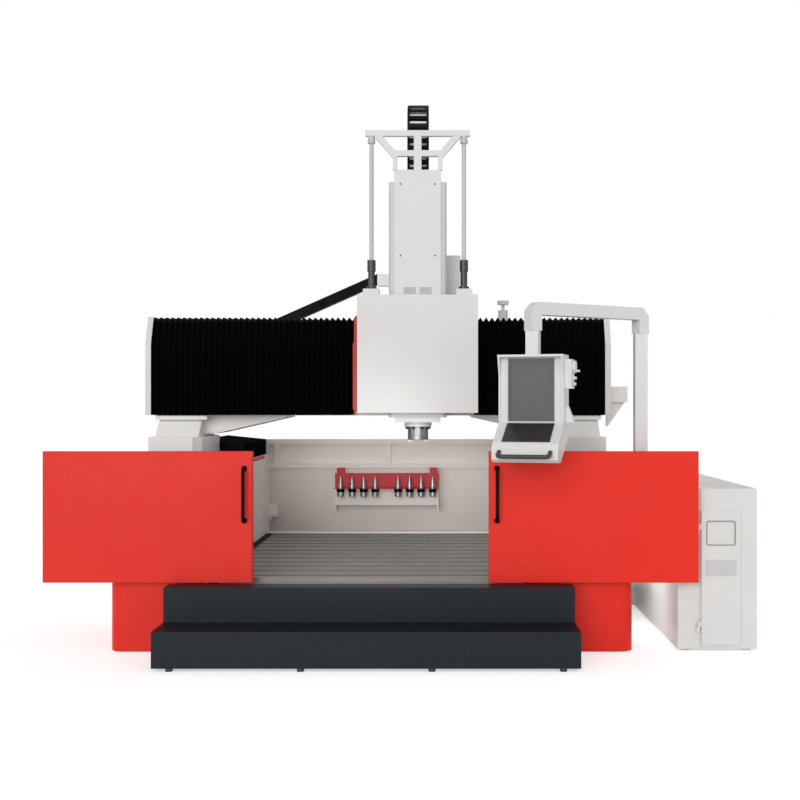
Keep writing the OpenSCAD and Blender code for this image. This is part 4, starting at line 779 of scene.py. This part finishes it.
holes = [(AXIS[0] + x, PLATE_FACE + PLATE_SINK, z) for x in PLATE_HOLES_X for z in PLATE_HOLES_Z]
plate_screw = placed(socket_head(*PLATE_SCREW), (0, 0, 0), tilt=FACING_FRONT)
add_piece("plate_screws", repeated(plate_screw, holes), screw_black, "ram")
slats = [(AXIS[0] + x, PLATE_FACE + SLAT_SINK, z) for x in VENTS_X for z in VENTS_Z]
add_piece("vent_slats", repeated(bar(SLAT), slats), vent_grey, "ram")
add_piece("rod_nuts", repeated(turned(NUT, 24), NUTS), ground_rod, "ram")

# Cable chain: a pale bar in every gap between two rungs

CHAIN = (0.293, -0.620, 3.539)
CHAIN_R, CHAIN_PITCH = 0.150, 0.050
CHAIN_FRONT_END, CHAIN_REAR_END = 2.68, 2.72
CHAIN_BAR = (0.118, 0.030, 0.014)
BEND_BARS = 9


def chain_leg(side, end):
    """Bars down one upright leg, in front of the bend's middle for side -1 and behind it for 1, and their direction."""
    z = np.arange(CHAIN[2] - 1.5 * CHAIN_PITCH, end, -CHAIN_PITCH)
    at = np.stack([0 * z + CHAIN[0], 0 * z + CHAIN[1] + side * CHAIN_R, z], axis=1)
    return at, np.repeat([[0.0, 0, 1]], len(z), axis=0)


def chain_bend(count):
    """Bars round the half circle at the top, in the middle of equal shares of the turn, and their direction."""
    turn = np.pi / count * (np.arange(count) + 0.5)
    at = np.stack([0 * turn + CHAIN[0], CHAIN[1] + CHAIN_R * np.cos(turn), CHAIN[2] + CHAIN_R * np.sin(turn)], axis=1)
    return at, np.stack([0 * turn, -np.sin(turn), np.cos(turn)], axis=1)


runs = [chain_leg(-1, CHAIN_FRONT_END), chain_bend(BEND_BARS), chain_leg(1, CHAIN_REAR_END)]
bars_at, bars_along = (np.concatenate(both) for both in zip(*runs))
add_piece("chain_bars", strung(bar(CHAIN_BAR), bars_at, bars_along), chain_pale, "z_chain")

# Hand wheel unit and cabinet door

KNOB = [(0.0125, 0.0), (0.0125, 0.004), (0.0095, 0.006), (0.0095, 0.017), (0.0085, 0.019)]
KNOBS = [(0.251, -0.018, 1.765), (0.251, 0.018, 1.765), (0.251, 0.0, 1.728)]
KNOB_TURN = np.pi / 2
DOOR_MIDDLE, DOOR_FACE = 2.2645, -1.3253
WINDOW_SHADE, WINDOW_SHADE_CORNER, WINDOW_SHADE_WIDE, WINDOW_SHADE_HIGH, WINDOW_SHADE_Z = (0.193, 0.162), 0.018, 0.007, 0.003, 0.769
PLATE, PLATE_EDGE, PLATE_CORNER, PLATE_SEAT, PLATE_Z = (0.201, 0.104, 0.0012), 0.0004, 0.003, 0.0004, 0.544

knobs = joined([placed(turned(KNOB, 20), at, spin=KNOB_TURN, tilt=FACING_FRONT) for at in KNOBS])
add_piece("selector_knobs", placed(knobs, PENDANT, PENDANT_TURN), finishes["white_paint"], "pendant")

# A grey frame round the window as painted shade of the window's recess
window_shade_frame = soft_frame(WINDOW_SHADE, WINDOW_SHADE_CORNER, WINDOW_SHADE_WIDE, WINDOW_SHADE_HIGH)
window_shade_frame = placed(window_shade_frame, (DOOR_MIDDLE, DOOR_FACE, WINDOW_SHADE_Z), tilt=FACING_FRONT)
add_piece("window_shade_ring", window_shade_frame, window_shade_grey, "cabinet_door")
plate_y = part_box("cabinet_door")[0].y + PLATE_SEAT
plate = placed(soft_slab(PLATE, PLATE_EDGE, PLATE_CORNER), (DOOR_MIDDLE, plate_y, PLATE_Z), tilt=FACING_FRONT)
add_piece("bare_plate", plate, plate_grey, "cabinet_door")

# Floor, light and camera

FLOOR, FLOOR_DROP, FLOOR_LIFT = 60.0, 0.0005, 0.5
SPOT_EDGE, SPOT_SIZE = 0.6, 0.35
CAMERA = (0.424, -8.52, 1.6)
LENS, SENSOR, FAR_CLIP = 50.0, 36.0, 200.0
SHIFT = (-0.046, 0.006)


def studio_floor():
    """A flat square under the machine, white to the camera where no shadow falls."""
    edge = np.array([-FLOOR, FLOOR])
    x, y = np.meshgrid(edge, edge, indexing="ij")
    points = np.stack([x, y, 0 * x - FLOOR_DROP], axis=2).reshape(-1, 3)
    mesh = bpy.data.meshes.new("studio_floor")
    mesh.from_pydata(points.tolist(), [], grid_quads(2, 2)[:, ::-1].tolist())
    f = Finish("studio_floor")
    f.set(Base_Color=f.mix(f.cloud(0.6, 2.0), (0.86, 0.86, 0.86, 1), (0.88, 0.88, 0.88, 1)), Roughness=0.9)
    f.set(Specular_IOR_Level=0.0)
    path = f.add("ShaderNodeLightPath")
    seen = f.math("MAXIMUM", path.outputs["Is Camera Ray"], path.outputs["Is Glossy Ray"])
    f.set(Emission_Color=(1, 1, 1, 1), Emission_Strength=f.math("MULTIPLY", seen, FLOOR_LIFT))
    mesh.materials.append(f.material)
    floor = bpy.data.objects.new("studio_floor", mesh)
    bpy.context.scene.collection.objects.link(floor)


def hung(name, lamp, way, at=(0, 0, 0)):
    """Hangs a lamp at its place, tipped and turned until its own downward axis lies along the way."""
    holder = bpy.data.objects.new(name, lamp)
    holder.location = at
    holder.rotation_euler = (np.arctan2(np.hypot(way[0], way[1]), -way[2]), 0, np.arctan2(-way[0], way[1]))
    bpy.context.scene.collection.objects.link(holder)
    return holder


def sunlight(name, way, strength, spread):
    """Even light from one direction over everything, as soft as its spread in degrees."""
    lamp = bpy.data.lights.new(name, "SUN")
    lamp.energy = strength
    lamp.angle = np.radians(spread)
    hung(name, lamp, way)


def softbox(name, at, aim, size, power, colour=(1, 1, 1)):
    """A large square lamp turned from its place towards an aim, hidden from the camera."""
    lamp = bpy.data.lights.new(name, "AREA")
    lamp.shape = "SQUARE"
    lamp.size = size
    lamp.energy = power
    lamp.color = colour
    hung(name, lamp, np.subtract(aim, at), at).visible_camera = False


def spotlight(name, at, aim, cone, power):
    """A soft-edged lamp with a cone in degrees, turned from its place towards an aim."""
    lamp = bpy.data.lights.new(name, "SPOT")
    lamp.energy = power
    lamp.spot_size = np.radians(cone)
    lamp.spot_blend = SPOT_EDGE
    lamp.shadow_soft_size = SPOT_SIZE
    hung(name, lamp, np.subtract(aim, at), at)


def studio_world(strength):
    """An even pale sky, which the camera, metal and glass see as white."""
    world = bpy.data.worlds.new("studio_sky")
    world.use_nodes = True
    tree = world.node_tree
    sky = tree.nodes["Background"]
    sky.inputs["Color"].default_value = (1, 1, 1, 1)
    path = tree.nodes.new("ShaderNodeLightPath")
    seen = tree.nodes.new("ShaderNodeMath")
    seen.operation = "MAXIMUM"
    tree.links.new(path.outputs["Is Camera Ray"], seen.inputs[0])
    tree.links.new(path.outputs["Is Glossy Ray"], seen.inputs[1])
    level = tree.nodes.new("ShaderNodeMapRange")
    level.inputs["To Min"].default_value = strength
    level.inputs["To Max"].default_value = 1.0
    tree.links.new(seen.outputs["Value"], level.inputs["Value"])
    tree.links.new(level.outputs["Result"], sky.inputs["Strength"])
    bpy.context.scene.world = world


studio_floor()
studio_world(0.5)
sunlight("key_light", way=(0.3, 0.92, -0.24), strength=1.6, spread=40)
softbox("fill_light", at=(5.5, -7.0, 3.5), aim=(0.3, -0.8, 1.4), size=4.0, power=60)
spotlight("work_light", at=(0.0, -6.2, 1.42), aim=(0.0, 1.25, 1.02), cone=16, power=315)
softbox("gap_light", at=(1.715, -0.7, 0.36), aim=(2.0, -0.7, 0.34), size=0.6, power=2.4, colour=(0.8, 1, 1))

lens = bpy.data.cameras.new("front_camera")
lens.lens = LENS
lens.sensor_width = SENSOR
lens.shift_x, lens.shift_y = SHIFT
lens.clip_end = FAR_CLIP
camera = bpy.data.objects.new("front_camera", lens)
camera.location = CAMERA
camera.rotation_euler = (np.pi / 2, 0, 0)
bpy.context.scene.collection.objects.link(camera)
bpy.context.scene.camera = camera
bpy.context.scene.view_settings.view_transform = "Standard"
